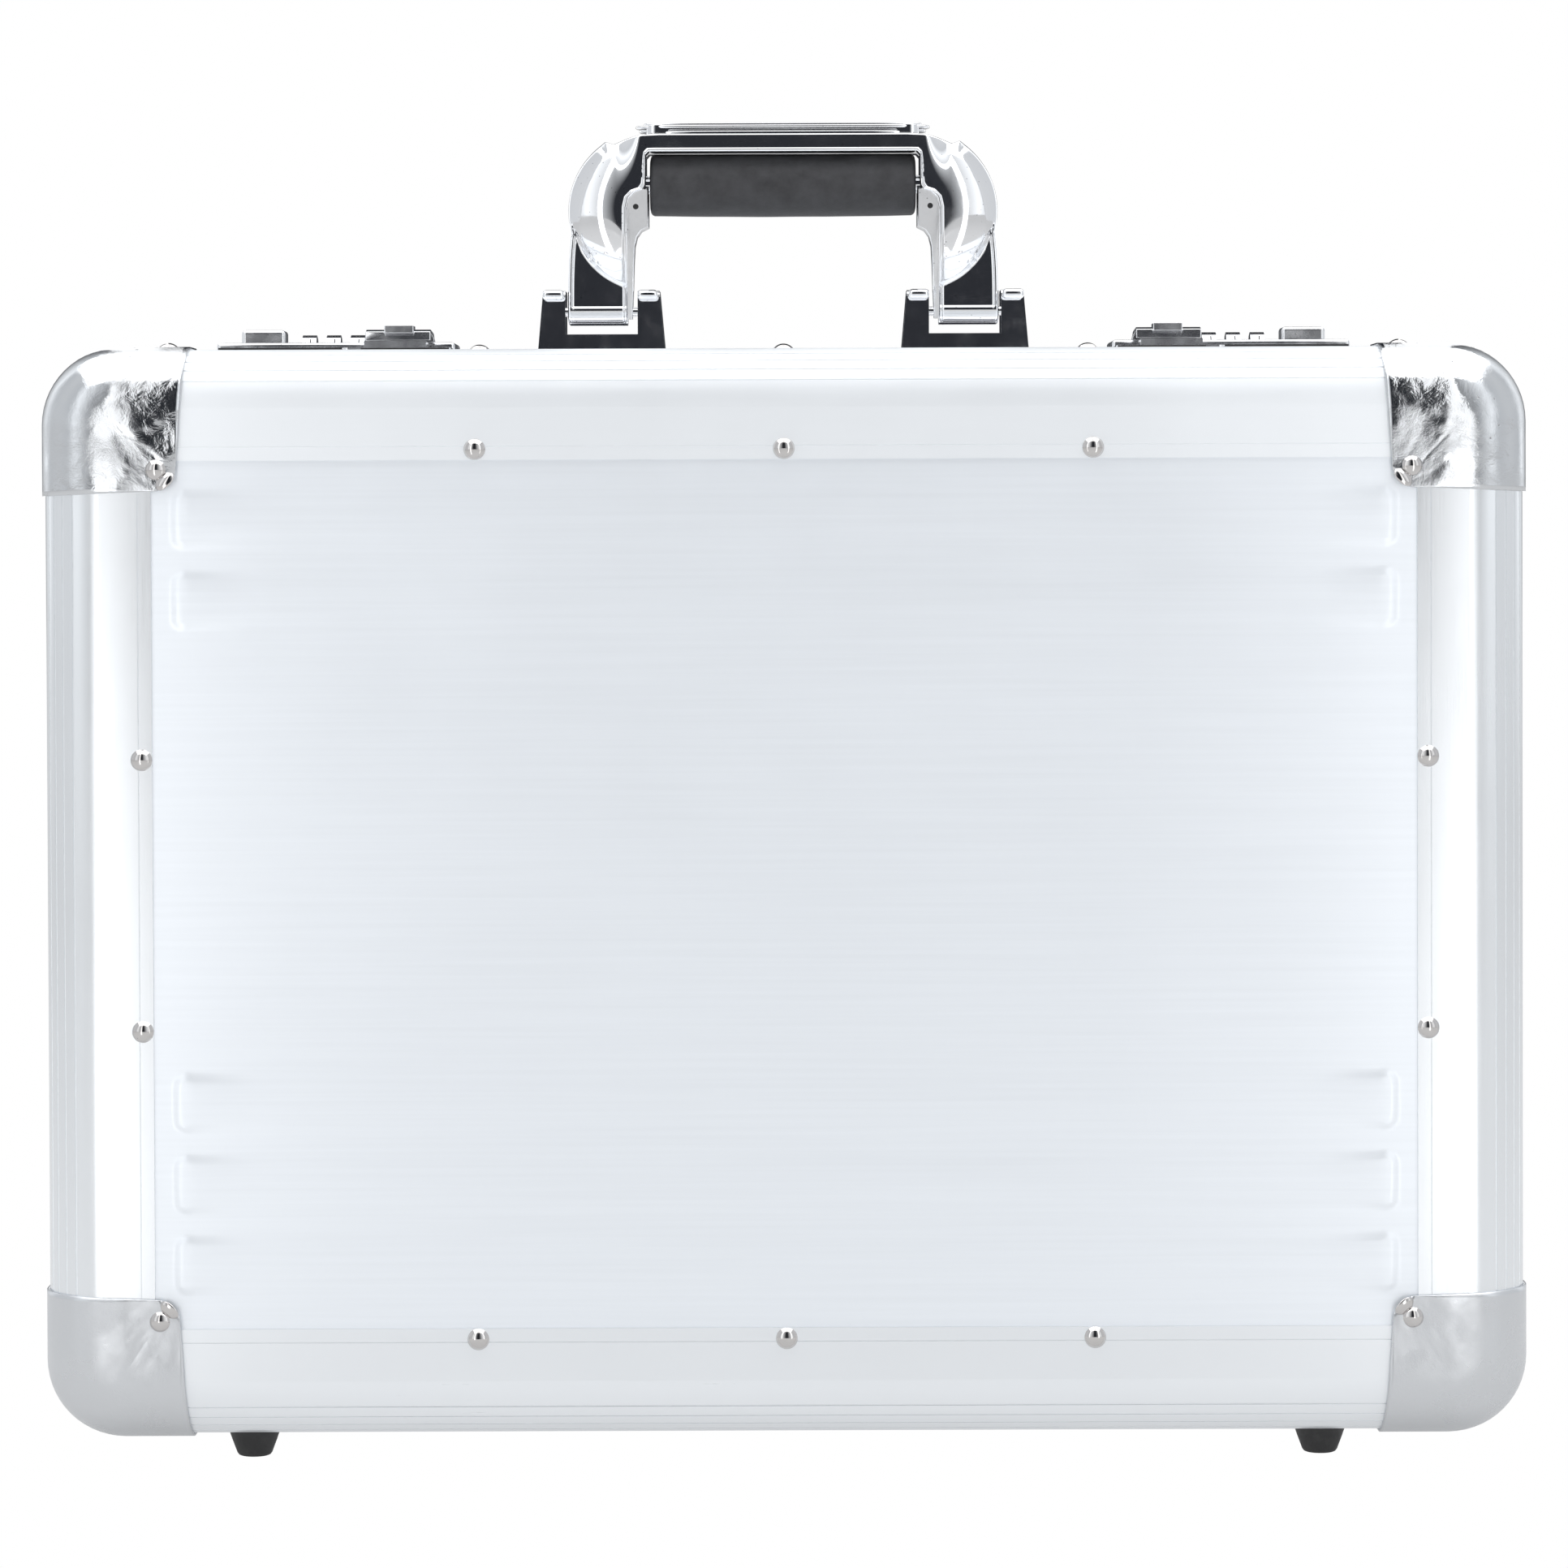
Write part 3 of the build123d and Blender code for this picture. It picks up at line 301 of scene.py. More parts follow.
class Build:
    """Collects points, in millimetres, and faces for one mesh piece."""

    def __init__(self):
        self.points = []
        self.faces = []

    def grid(self, rows, close_columns=False):
        """Faces between neighbouring rows of points; close_columns joins each row's ends."""
        start = len(self.points)
        width = len(rows[0])
        for row in rows:
            self.points += row
        for i in range(len(rows) - 1):
            below = start + i * width
            above = below + width
            for j in range(width - (0 if close_columns else 1)):
                k = (j + 1) % width
                self.faces.append((below + j, below + k, above + k, above + j))

    def fan(self, ring, tip):
        """Faces from a ring of points to one point."""
        start = len(self.points)
        self.points += list(ring) + [tip]
        last = start + len(ring)
        for i in range(len(ring)):
            self.faces.append((start + i, start + (i + 1) % len(ring), last))

    def lathe(self, profile, centre, axis, segments=32):
        """Turn a profile of (radius, height) pairs about an axis through the centre."""
        turn = Vector((0, 0, 1)).rotation_difference(Vector(axis)).to_matrix()
        rings = []
        for radius, height in profile:
            ring = []
            for i in range(segments):
                angle = 2 * pi * i / segments
                spoke = Vector((radius * cos(angle), radius * sin(angle), height))
                ring.append(Vector(centre) + turn @ spoke)
            rings.append(ring)
        self.grid(rings, close_columns=True)

    def slab(self, outline, low, high, rounding, steps=4):
        """A level plate with rounded rims: an outline of (x, y) points, thick from low to high."""
        rings = []
        for i in range(steps + 1):
            angle = pi / 2 * i / steps
            rings.append((rounding * (1 - sin(angle)), low + rounding * (1 - cos(angle))))
        for i in range(steps + 1):
            angle = pi / 2 * (1 - i / steps)
            rings.append((rounding * (1 - sin(angle)), high - rounding * (1 - cos(angle))))
        rows = [[Vector((x, y, z)) for x, y in shrink(outline, inset)] for inset, z in rings]
        self.grid(rows, close_columns=True)
        for row in (rows[0], rows[-1]):
            middle = sum(row, Vector()) / len(row)
            self.fan(row, middle)

    def finish(self, name, key, like, replaces=(), slot=None, smooth=40, thickness=0.0):
        """Make the object, riding on the body of the CAD node that it is like."""
        mesh = bpy.data.meshes.new(name)
        mesh.from_pydata([Vector(p) * MM for p in self.points], [], self.faces)
        mesh.validate()
        tidy = bmesh.new()
        tidy.from_mesh(mesh)
        bmesh.ops.remove_doubles(tidy, verts=tidy.verts, dist=0.00001)
        bmesh.ops.recalc_face_normals(tidy, faces=tidy.faces)
        tidy.to_mesh(mesh)
        tidy.free()
        mesh.materials.append(MATERIALS[key])
        mesh.shade_smooth()
        piece = bpy.data.objects.new(name, mesh)
        bpy.context.scene.collection.objects.link(piece)
        mesh.set_sharp_from_angle(angle=radians(smooth))
        if thickness:
            skin = piece.modifiers.new("thickness", "SOLIDIFY")
            skin.thickness = thickness * MM
            skin.offset = -1.0
        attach(piece, BODY_OF[like])
        if replaces:
            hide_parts(*replaces)
        slot or slot_of(like)
        return piece


def shrink(outline, inset):
    """Move a convex outline's points inwards by about an inset."""
    if not inset:
        return outline
    cu = sum(u for u, v in outline) / len(outline)
    cv = sum(v for u, v in outline) / len(outline)
    reach_u = max(abs(u - cu) for u, v in outline)
    reach_v = max(abs(v - cv) for u, v in outline)
    fu = 1 - inset / reach_u
    fv = 1 - inset / reach_v
    return [(cu + (u - cu) * fu, cv + (v - cv) * fv) for u, v in outline]


def rounded_rectangle(low_u, high_u, low_v, high_v, radius, steps=6):
    """Outline of a rectangle with rounded corners."""
    points = []
    corners = ((high_u, high_v, 0), (low_u, high_v, 90), (low_u, low_v, 180), (high_u, low_v, 270))
    for u, v, start in corners:
        cu = u - radius if u == high_u else u + radius
        cv = v - radius if v == high_v else v + radius
        for i in range(steps + 1):
            angle = radians(start + 90 * i / steps)
            points.append((cu + radius * cos(angle), cv + radius * sin(angle)))
    return points


def slot_of(node):
    for part in frame["record"]["subparts"]:
        if part["node"] == node:
            return part["material_slot"]


def smooth_step(value, low, high):
    share = min(1.0, max(0.0, (value - low) / (high - low)))
    return share * share * (3 - 2 * share)


def lerp(one, other, share):
    return one + (other - one) * share


def box_mm(node):
    low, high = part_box(node)
    return Vector(low) / MM, Vector(high) / MM


def islands(node):
    """The (low, high) corners in millimetres of each separate solid in a CAD node."""
    mesh = NODES[node].data
    world = NODES[node].matrix_world
    group = list(range(len(mesh.vertices)))

    def root(i):
        while group[i] != i:
            group[i] = group[group[i]]
            i = group[i]
        return i

    at = {}
    for i, vertex in enumerate(mesh.vertices):
        key = tuple(round(c, 6) for c in vertex.co)
        group[root(i)] = root(at.setdefault(key, i))
    for a, b in (edge.vertices for edge in mesh.edges):
        group[root(a)] = root(b)
    found = {}
    for i, vertex in enumerate(mesh.vertices):
        point = world @ vertex.co / MM
        low, high = found.setdefault(root(i), (point.copy(), point.copy()))
        for axis in range(3):
            low[axis] = min(low[axis], point[axis])
            high[axis] = max(high[axis], point[axis])
    return list(found.values())


# ---------------------------------------------------------------- case

CASE_LOW = Vector((-230.0, -75.0, 9.0))
CASE_HIGH = Vector((230.0, 75.0, 347.0))
EDGE_RADIUS = 18.5
PLAN_RADIUS = 23.5
RIB_EDGE = 2.8              # width of a rib's sloping side at its end
RIB_SLOPE = 9.0             # the same further in
RIB_REACH = 190.0
RIB_TALL = 19.6
RIB_RADIUS = 5.0
RIB_RISE = 0.6
RIB_PITCH = 25.1
RIB_FROM_TOP = 52.8         # to the middle of the highest rib
RIB_FROM_BOTTOM = 54.5      # to the middle of the lowest rib
PANEL_THICKNESS = 1.9
CAP_PROUD = 1.0
CAP_THICKNESS = 0.9
CAP_WIDE = 45.1
CAP_TALL = 45.4
CAP_RAMP = 0.32


def fine_lines(low, high, step, spots, fine, reach):
    """Grid lines from low to high: coarse ones, and fine ones near the given spots."""
    count = round((high - low) / step)
    lines = {round(low + (high - low) * i / count, 3) for i in range(count + 1)}
    lines = {line for line in lines if all(abs(line - spot) > reach for spot in spots)} | {low, high}
    for spot in spots:
        for i in range(round(2 * reach / fine) + 1):
            line = round(spot - reach + fine * i, 3)
            if low < line < high:
                lines.add(line)
    return sorted(lines)


def rib_spans():
    """The heights of the stamped ribs: two below the top edge and three above the bottom edge."""
    middles = [CASE_HIGH.z - RIB_FROM_TOP - RIB_PITCH * i for i in range(2)]
    middles += [CASE_LOW.z + RIB_FROM_BOTTOM + RIB_PITCH * i for i in range(3)]
    return [(middle - RIB_TALL / 2, middle + RIB_TALL / 2) for middle in sorted(middles)]


def face_panel(half_name, out):
    node = f"{half_name}_face_panel"
    low, high = box_mm(node)
    spans = rib_spans()
    flat = (high.y if out > 0 else low.y) - out * RIB_RISE
    x_spots = (-RIB_REACH, RIB_REACH)
    z_spots = [z for span in spans for z in span]
    xs = fine_lines(low.x, high.x, 9.0, x_spots, 0.55, 6.0)
    zs = fine_lines(low.z, high.z, 8.0, z_spots, 0.55, 3.3)

    def rise(x, z):
        best = 0.0
        inwards = smooth_step(RIB_REACH - abs(x), 4.0, 16.0)
        for bottom, top in spans:
            dx = abs(x) - (RIB_REACH - RIB_RADIUS)
            dz = abs(z - (bottom + top) / 2) - ((top - bottom) / 2 - RIB_RADIUS)
            distance = hypot(max(dx, 0), max(dz, 0)) + min(max(dx, dz), 0) - RIB_RADIUS
            best = max(best, smooth_step(-distance, 0, lerp(RIB_EDGE, RIB_SLOPE, inwards)))
        return RIB_RISE * best * lerp(1.0, 0.12, smooth_step(RIB_REACH - abs(x), 4.0, 32.0))

    build = Build()
    front = [[Vector((x, flat + out * rise(x, z), z)) for x in xs] for z in zs]
    build.grid(front)
    back = flat - out * PANEL_THICKNESS
    rim = front[0] + [row[-1] for row in front[1:]]
    rim += front[-1][-2::-1] + [row[0] for row in front[-2:0:-1]]
    inner = [Vector((p.x, back, p.z)) for p in rim]
    build.grid([rim, inner], close_columns=True)
    build.faces.append(tuple(range(len(build.points) - len(rim), len(build.points))))
    build.finish(f"{half_name}_panel_skin", "panel", node, [node])


def cap_row(b, d, radius, a_end, z_end, steps):
    """One row of a corner cap: along the top arm, round the corner, down the side arm."""
    points = []
    start = b + radius
    for i in range(steps):
        points.append((lerp(a_end, start, i / steps), b, d))
    for i in range(steps + 1):
        angle = pi / 2 * i / steps
        points.append((start - radius * sin(angle), start - radius * cos(angle), d))
    for i in range(1, steps + 1):
        points.append((b, lerp(start, z_end, i / steps), d))
    return points


def cap_rows():
    """The cap's outer skin, as (inset from side, inset from top, depth) rows from its rim to its tip."""
    steps = 14
    rows = []
    for d in (43.5, 42.2, 40.9, 39.6, 38.5, 34.0, 29.0, 24.0, 20.0):
        cut = max(0.0, d - 38.5)
        rows.append(cap_row(-CAP_PROUD, d, PLAN_RADIUS + CAP_PROUD, CAP_WIDE - cut, CAP_TALL - cut, steps))
    for i in range(13):
        phi = pi / 2 * (1 - i / 12)
        b = EDGE_RADIUS - (EDGE_RADIUS + CAP_PROUD) * sin(phi)
        d = EDGE_RADIUS - (EDGE_RADIUS + CAP_PROUD) * cos(phi)
        a_end = CAP_WIDE - 2.7 * max(0.0, b) / 38.9
        z_end = CAP_TALL - 1.4 * max(0.0, b) / 36.9
        rows.append(cap_row(b, d, PLAN_RADIUS - b, a_end, z_end, steps))
    flat = rows[-1]
    count = len(flat)
    upper, lower = Vector((42.4, 38.9)), Vector((36.9, 44.0))
    for i in range(1, 15):
        share = i / 14
        row = []
        for k, (a, b, d) in enumerate(flat):
            end = upper.lerp(lower, k / (count - 1))
            row.append((lerp(a, end.x, share), lerp(b, end.y, share), d))
        rows.append(row)
    return rows


def cap_dent(a, b, seed):
    """How far the cap's front is pushed in or out: a slight ramp after its bend, then wrinkles."""
    flat = smooth_step(a, 22.0, 27.0) * smooth_step(b, 18.5, 27.0)
    ramp = min(1.0, max(0.0, (a - 18.5) / 5.8))
    where = Vector((a * 0.085, b * 0.085, seed))
    broad = noise.noise(where) * 0.55
    crease = 1 - abs(noise.noise(Vector((a * 0.05 + b * 0.05, (a - b) * 0.16, seed + 4.0)))) * 2
    fine = noise.noise(Vector((a * 0.42, b * 0.42, seed + 9.0))) * 0.08
    return flat * (broad + 0.16 * max(0.0, crease - 0.55) + fine) - CAP_RAMP * ramp


def corner_cap(half_name, level, side_name):
    node = f"{half_name}_corner_{level}_{side_name}"
    out = HALVES[half_name]
    sx = SIDES[side_name]
    sz = 1 if level == "top" else -1
    seed = 3.7 * sx + 1.9 * sz + 0.8 * out
    face = CASE_LOW.y if out > 0 else CASE_HIGH.y
    edge_z = CASE_HIGH.z if sz > 0 else CASE_LOW.z

    def to_case(a, b, d):
        return Vector((sx * (CASE_HIGH.x - a), face + out * d, edge_z - sz * b))

    rows = [[(a, b, d + cap_dent(a, b, seed)) for a, b, d in row] for row in cap_rows()]
    build = Build()
    build.grid([[to_case(*p) for p in row] for row in rows])
    finish = "corner" if level == "top" else "corner_satin"
    name = f"{half_name}_cap_{level}_{side_name}"
    build.finish(name, finish, node, [node], smooth=60, thickness=CAP_THICKNESS)
    hood(half_name, level, side_name, to_case, node)


def hood(half_name, level, side_name, to_case, node):
    """The small louvre pressed up at a cap's tip, its mouth towards the panel, with a dark cup of painted
    shade in its mouth.
    """
    build = Build()
    chord = Vector((-5.5, 5.1)).normalized()
    inward = Vector((-chord.y, chord.x))
    middle = Vector((39.65, 41.45))
    rows = []
    for i in range(9):
        lift = i / 8
        row = []
        for k in range(19):
            angle = pi * k / 18
            bow = sin(angle)
            along = 3.75 * cos(angle) * (1 - 0.10 * lift)
            back = lerp(3.0, -1.5, lift) * bow + 0.2
            height = 1.7 * sin(pi / 2 * min(1.0, lift * 1.4)) * bow ** 0.7
            spot = middle + chord * along + inward * back
            row.append(to_case(spot.x, spot.y, -1.0 - height))
        rows.append(row)
    build.grid(rows)
    build.finish(f"{half_name}_hood_{level}_{side_name}", "rivet", node, slot=slot_of(node), thickness=0.55)
    # The dark cup under the mouth is painted shade: a dark piece standing for the shadow inside the slot.
    dark = Build()
    rim = []
    for k in range(13):
        angle = pi * 2 * k / 13
        spot = middle + chord * (2.0 * cos(angle)) + inward * (0.25 + 0.8 * sin(angle))
        rim.append(spot)
    rings = [[to_case(p.x, p.y, -1.45) for p in rim], [to_case(p.x, p.y, -0.9) for p in rim]]
    dark.grid(rings, close_columns=True)
    dark.fan(rings[0], sum(rings[0], Vector()) / len(rim))
    dark.finish(f"{half_name}_hood_slot_{level}_{side_name}", "rubber", node, slot=slot_of(node))


def rivet_profile(radius, dome_height):
    """A low dome over a short shank, as (radius, height) pairs."""
    ball = (radius ** 2 + dome_height ** 2) / (2 * dome_height)
    profile = [(radius * 0.72, -0.6), (radius * 0.97, -0.05), (radius, 0.08)]
    edge = radius / ball
    for i in range(1, 12):
        across = edge * (1 - i / 11)
        profile.append((max(ball * across, 0.001), ball * sqrt(1 - across ** 2) - (ball - dome_height)))
    return profile


def rivets(node, radius, dome_height):
    """Domed heads where the CAD group's rivets stand, each facing out of the case."""
    build = Build()
    middle = (CASE_LOW + CASE_HIGH) / 2
    body = node.split("_")[0]
    for low, high in islands(node):
        size = high - low
        axis = min(range(3), key=lambda k: size[k])
        centre = (low + high) / 2
        if axis == 1:
            outward = -HALVES[body]
        else:
            outward = 1 if centre[axis] > middle[axis] else -1
        place = centre.copy()
        place[axis] = (high[axis] if outward > 0 else low[axis]) - outward * dome_height
        direction = Vector((0, 0, 0))
        direction[axis] = outward
        build.lathe(rivet_profile(radius, dome_height), place, direction)
    build.finish(f"{node}_heads", "rivet", node, [node], smooth=60)


FOOT_PROFILE = ((0.01, 0.5), (2.0, 0.45), (2.6, 0.0), (4.4, 0.0), (5.0, 0.25), (5.5, 0.9), (5.9, 2.0),
                (7.1, 5.2), (8.0, 7.9), (8.45, 8.3), (8.45, 8.95))


def feet(half_name):
    node = f"{half_name}_feet"
    build = Build()
    for low, high in islands(node):
        centre = Vector(((low.x + high.x) / 2, (low.y + high.y) / 2, 0))
        build.lathe(FOOT_PROFILE, centre, (0, 0, 1), 40)
    build.finish(f"{node}_rubber", "rubber", node, [node], smooth=50)


def bevel(node, width, segments=3, angle=30):
    """Round a CAD node's edges for show."""
    weld = NODES[node].modifiers.new("weld", "WELD")
    weld.merge_threshold = 0.002 * MM
    soft = NODES[node].modifiers.new("rounding", "BEVEL")
    soft.width = width * MM
    soft.segments = segments
    soft.limit_method = "ANGLE"
    soft.angle_limit = radians(angle)
    soft.harden_normals = True


def build_case():
    for half_name, out in HALVES.items():
        face_panel(half_name, -out)
        for level in ("top", "bottom"):
            for side_name in SIDES:
                corner_cap(half_name, level, side_name)
        rivets(f"{half_name}_rivets", radius=3.35, dome_height=1.8)
        rivets(f"{half_name}_hinge_rivets", radius=2.0, dome_height=0.9)
        feet(half_name)


build_case()


# ---------------------------------------------------------------- handle

HANDLE_Y = 13.0
DISC = Vector((43.0, 393.7))        # the arm's round shoulder, seen from the front
DISC_RADIUS = 26.2
STEP_RADIUS = 25.3
LEG_OUT = 69.6
LEG_IN = 50.3
PIVOT_Z = 360.9
LEG_BOTTOM = 356.5
GRIP_Z = 401.85
GRIP_RADIUS = 9.95
GRIP_HALF = 42.9
FACET = 4.75
BAR_LOW, BAR_HIGH = 412.0, 417.9


def handle_curves():
    """Matching points on the inner and outer edges of the frame's right half, from the leg's foot up."""
    pairs = []
    for i in range(9):
        z = PIVOT_Z - (PIVOT_Z - LEG_BOTTOM) * cos(pi / 2 * i / 8) ** 0.9
        pairs.append((Vector((LEG_IN, z)), Vector((LEG_OUT - 0.9 * (1 - i / 8) ** 3, z))))
    for i in range(1, 61):
        share = i / 60
        z = lerp(PIVOT_Z, 386.5, share)
        pairs.append((Vector((LEG_IN, z)), Vector((lerp(LEG_OUT, 68.45, share ** 3), z))))
    inner = [Vector((LEG_IN, 386.5)), Vector((LEG_IN, 394.0)), Vector((49.6, 397.2)), Vector((47.6, 399.2)),
             Vector((45.2, 399.9)), Vector((44.3, 401.2)), Vector((44.2, 404.0)), Vector((44.2, 410.9)),
             Vector((43.2, BAR_LOW)), Vector((40.0, BAR_LOW))]
    outer = []
    for i in range(41):
        angle = radians(lerp(-15.0, 57.0, i / 40))
        outer.append(DISC + Vector((cos(angle), sin(angle))) * (DISC_RADIUS + 0.25 * (1 - i / 40)))
    outer += [Vector((54.6, 414.7)), Vector((50.4, 416.4)), Vector((46.0, 417.6)), Vector((40.0, BAR_HIGH))]
    for i in range(1, 111):
        share = i / 110
        pairs.append((along(inner, share), along(outer, share)))
    for i in range(1, 21):
        x = 40.0 * (1 - i / 20)
        pairs.append((Vector((x, BAR_LOW)), Vector((x, BAR_HIGH))))
    return pairs


def along(points, share):
    """The point this share of the way along a polyline."""
    lengths = [(b - a).length for a, b in zip(points, points[1:])]
    left = share * sum(lengths)
    for a, b, length in zip(points, points[1:], lengths):
        if left <= length:
            return a.lerp(b, left / length)
        left -= length
    return points[-1].copy()


BAND_STARTS = ((-80, 25.1), (-55, 24.9), (-37, 24.1), (-17, 23.4), (-3, 22.5), (10, 21.7), (30, 21.5),
               (53, 22.8), (58, 27.0), (90, 27.0))


def table_value(table, at):
    for (x0, y0), (x1, y1) in zip(table, table[1:]):
        if at <= x1:
            return lerp(y0, y1, max(0.0, (at - x0) / (x1 - x0)))
    return table[-1][1]


def rounded_drop(distance, radius):
    """How far a surface has fallen, this far from an edge of a given rounding."""
    if distance >= radius:
        return 0.0
    return radius - sqrt(max(0.0, radius ** 2 - (radius - distance) ** 2))


def handle_depth(x, z, from_inner, from_outer):
    """Half the frame's thickness at a place seen from the front."""
    side = max(0.0, x - DISC.x)
    share = smooth_step(x, 43.0, 54.0)
    rise = z - DISC.y
    radius = sqrt(side ** 2 + share * rise ** 2)
    depth = 11.0 - max(0.0, radius - 9.6) ** 2 / 48
    true_radius = hypot(x - DISC.x, rise)
    if x > DISC.x:
        angle = degrees(atan2(rise, x - DISC.x))
        band = max(0.0, true_radius - table_value(BAND_STARTS, angle))
        depth -= 0.62 * band * share
    step = smooth_step(true_radius, STEP_RADIUS, STEP_RADIUS + 0.7) * (1 - smooth_step(z, 385.0, 392.0))
    edge = FACET + 0.75 * (1 - smooth_step(from_outer, 1.0, 1.9))
    edge += 0.75 * (1 - smooth_step(z - PIVOT_Z, 0.9, 1.8))
    thinnest = lerp(4.9, 2.4, smooth_step(z, 380, 394))
    depth = lerp(max(depth, thinnest), min(edge, FACET + 0.85), step)
    depth += 0.55 * (1 - smooth_step(from_inner, 0.85, 1.35))
    depth -= rounded_drop(from_inner, 0.75)
    depth -= rounded_drop(from_outer, 0.8)
    if z < PIVOT_Z:
        round_end = sqrt(max(0.0, 1 - ((PIVOT_Z - z) / (PIVOT_Z - LEG_BOTTOM + 0.05)) ** 2))
        depth *= round_end
    return max(depth, 0.12)


def handle_frame():
    node = "handle_frame"
    columns = [i / 54 for i in range(55)]
    columns = sorted(set([0.02, 0.055, 0.98, 0.945] + columns))
    build = Build()
    for sx in SIDES.values():
        rows = []
        for inner, outer in handle_curves():
            width = (outer - inner).length
            front, back = [], []
            for v in columns:
                spot = inner.lerp(outer, v)
                depth = handle_depth(spot.x, spot.y, v * width, (1 - v) * width)
                front.append(Vector((sx * spot.x, HANDLE_Y - depth, spot.y)))
                back.append(Vector((sx * spot.x, HANDLE_Y + depth, spot.y)))
            rows.append(front + back[::-1])
        build.grid(rows, close_columns=True)
        build.fan(rows[0], sum(rows[0], Vector()) / len(rows[0]))
    build.finish("handle_body", "chrome", node, [node], smooth=50)


def handle_boss():
    """The set-back inner wall of each leg, with its boss and screw hole beside the grip; the hole is a dark
    disc of painted shade.
    """
    outline = ((50.9, 358.6), (48.8, 358.6), (48.4, 368.0), (48.2, 376.0), (47.9, 382.0), (47.2, 385.0),
               (45.8, 387.0), (43.4, 388.2), (43.4, 399.9), (44.9, 400.3), (47.5, 399.6), (50.9, 398.0))
    depths = ((358.6, 3.2), (368.0, 4.0), (376.0, 5.4), (383.0, 7.0), (388.0, 7.9), (401.0, 7.9))
    for side_name, sx in SIDES.items():
        build = Build()
        rows = []
        for level, inset in ((-1.0, 0.35), (-0.97, 0.12), (-0.9, 0.0), (0.9, 0.0), (0.97, 0.12), (1.0, 0.35)):
            row = []
            for x, z in outline:
                half = table_value(depths, z)
                row.append(Vector((sx * (x + inset * (x < 49)), HANDLE_Y + level * half, z)))
            rows.append(row)
        build.grid(rows, close_columns=True)
        build.faces.append(tuple(range(len(outline))))
        build.faces.append(tuple(range(len(build.points) - len(outline), len(build.points))))
        build.finish(f"handle_boss_{side_name}", "lock", "handle_frame", smooth=35)
        # Painted shade: a flat dark disc on each face of the boss stands for the dark inside of the screw
        # hole.
        hole = Build()
        for way in (-1, 1):
            rim = Vector((sx * 47.5, HANDLE_Y + way * 7.88, 394.6))
            hole.lathe([(0.01, 0.05), (0.75, 0.05), (0.9, 0.0)], rim, (0, way, 0), 20)
        hole.finish(f"handle_screw_hole_shade_{side_name}", "rubber", "handle_frame", slot="pin_steel")


RIDGE_PLATES = ((43.6, 9.0, 417.4, 418.9, 0.45), (46.4, 8.1, 418.7, 419.6, 0.3),
                (47.6, 8.6, 419.9, 420.9, 0.5), (45.0, 6.4, 420.7, 421.75, 0.5))


def ridge():
    """The stepped rail along the top of the handle: lens-shaped plates that grow shorter upwards."""
    build = Build()
    for half_x, half_y, low, high, rounding in RIDGE_PLATES:
        outline = []
        for i in range(72):
            angle = 2 * pi * i / 72
            u = abs(cos(angle)) ** 0.32 * (1 if cos(angle) > 0 else -1)
            v = abs(sin(angle)) ** 0.85 * (1 if sin(angle) > 0 else -1)
            outline.append((u * half_x, HANDLE_Y + v * half_y))
        build.slab(outline, low, high, rounding)
    core = rounded_rectangle(-44, 44, HANDLE_Y - 7.2, HANDLE_Y + 7.2, 3.0)
    build.slab(core, 417.2, 421.0, 0.2)
    build.finish("handle_ridge", "chrome", "handle_frame", smooth=50)


def grip():
    """The padded black sleeve, very slightly saggy and uneven."""
    build = Build()
    rows = []
    ends = [(0.0, 0.78), (0.25, 0.90), (0.7, 0.965), (1.4, 1.0)]
    stations = [(-GRIP_HALF + a, f) for a, f in ends]
    stations += [(-GRIP_HALF + 1.4 + (2 * GRIP_HALF - 2.8) * i / 60, 1.0) for i in range(1, 60)]
    stations += [(GRIP_HALF - a, f) for a, f in reversed(ends)]
    for x, factor in stations:
        row = []
        middle = 1 - (x / GRIP_HALF) ** 2
        for i in range(56):
            angle = 2 * pi * i / 56
            wobble = 0.14 * noise.noise(Vector((x * 0.06, cos(angle), sin(angle) + 3)))
            across = (GRIP_RADIUS + wobble) * factor
            sag = 0.35 * middle * max(0.0, -sin(angle))
            row.append(Vector((x, HANDLE_Y + across * cos(angle), GRIP_Z + across * sin(angle) - sag)))
        rows.append(row)
    build.grid(rows, close_columns=True)
    for row in (rows[0], rows[-1]):
        build.fan(row, sum(row, Vector()) / len(row))
    piece = build.finish("handle_sleeve", "grip", "handle_grip", ["handle_grip"], smooth=60)


handle_frame()
handle_boss()
ridge()
grip()


# ---------------------------------------------------------------- brackets, locks and dials

def bracket_hems(side_name, sx):
    """The rolled hem along the top of each bracket prong, front and back."""
    build = Build()
    for centre_x, half in ((73.9, 3.5), (43.6, 3.3)):
        for y in (-1.55, 27.55):
            profile = [(0.01, -half), (0.9, -half + 0.12), (1.45, -half + 0.6), (1.6, -half + 1.2)]
            profile += [(r, -h) for r, h in profile[::-1]]
            build.lathe(profile, (sx * centre_x, y, 365.9), (1, 0, 0), 24)
    build.finish(f"bracket_hems_{side_name}", "chrome", f"handle_bracket_{side_name}", smooth=50)


def plate_shadow_strips(side_name, sx):
    """Thin dark strips under the lock and strike plates, showing as a line: painted shade for the shadow gap
    between each plate and the frame.
    """
    plates = ((f"lock_case_{side_name}", 135.6, 180.6, -13.12, 16.9, 349.0),
              (f"strike_plate_{side_name}", 105.6, 133.6, -33.12, -15.7, 348.25))
    for node, low_x, high_x, low_y, high_y, top in plates:
        # Painted shadow: dark strips along the plate's front and back edges.
        build = Build()
        ends = sorted((sx * low_x, sx * high_x))
        for strip in ((low_y, low_y + 1.0), (high_y - 1.0, high_y)):
            build.slab(rounded_rectangle(*ends, *strip, 0.4), 347.05, top, 0.1)
        build.finish(f"{node}_shadow_strip", "rubber", node)


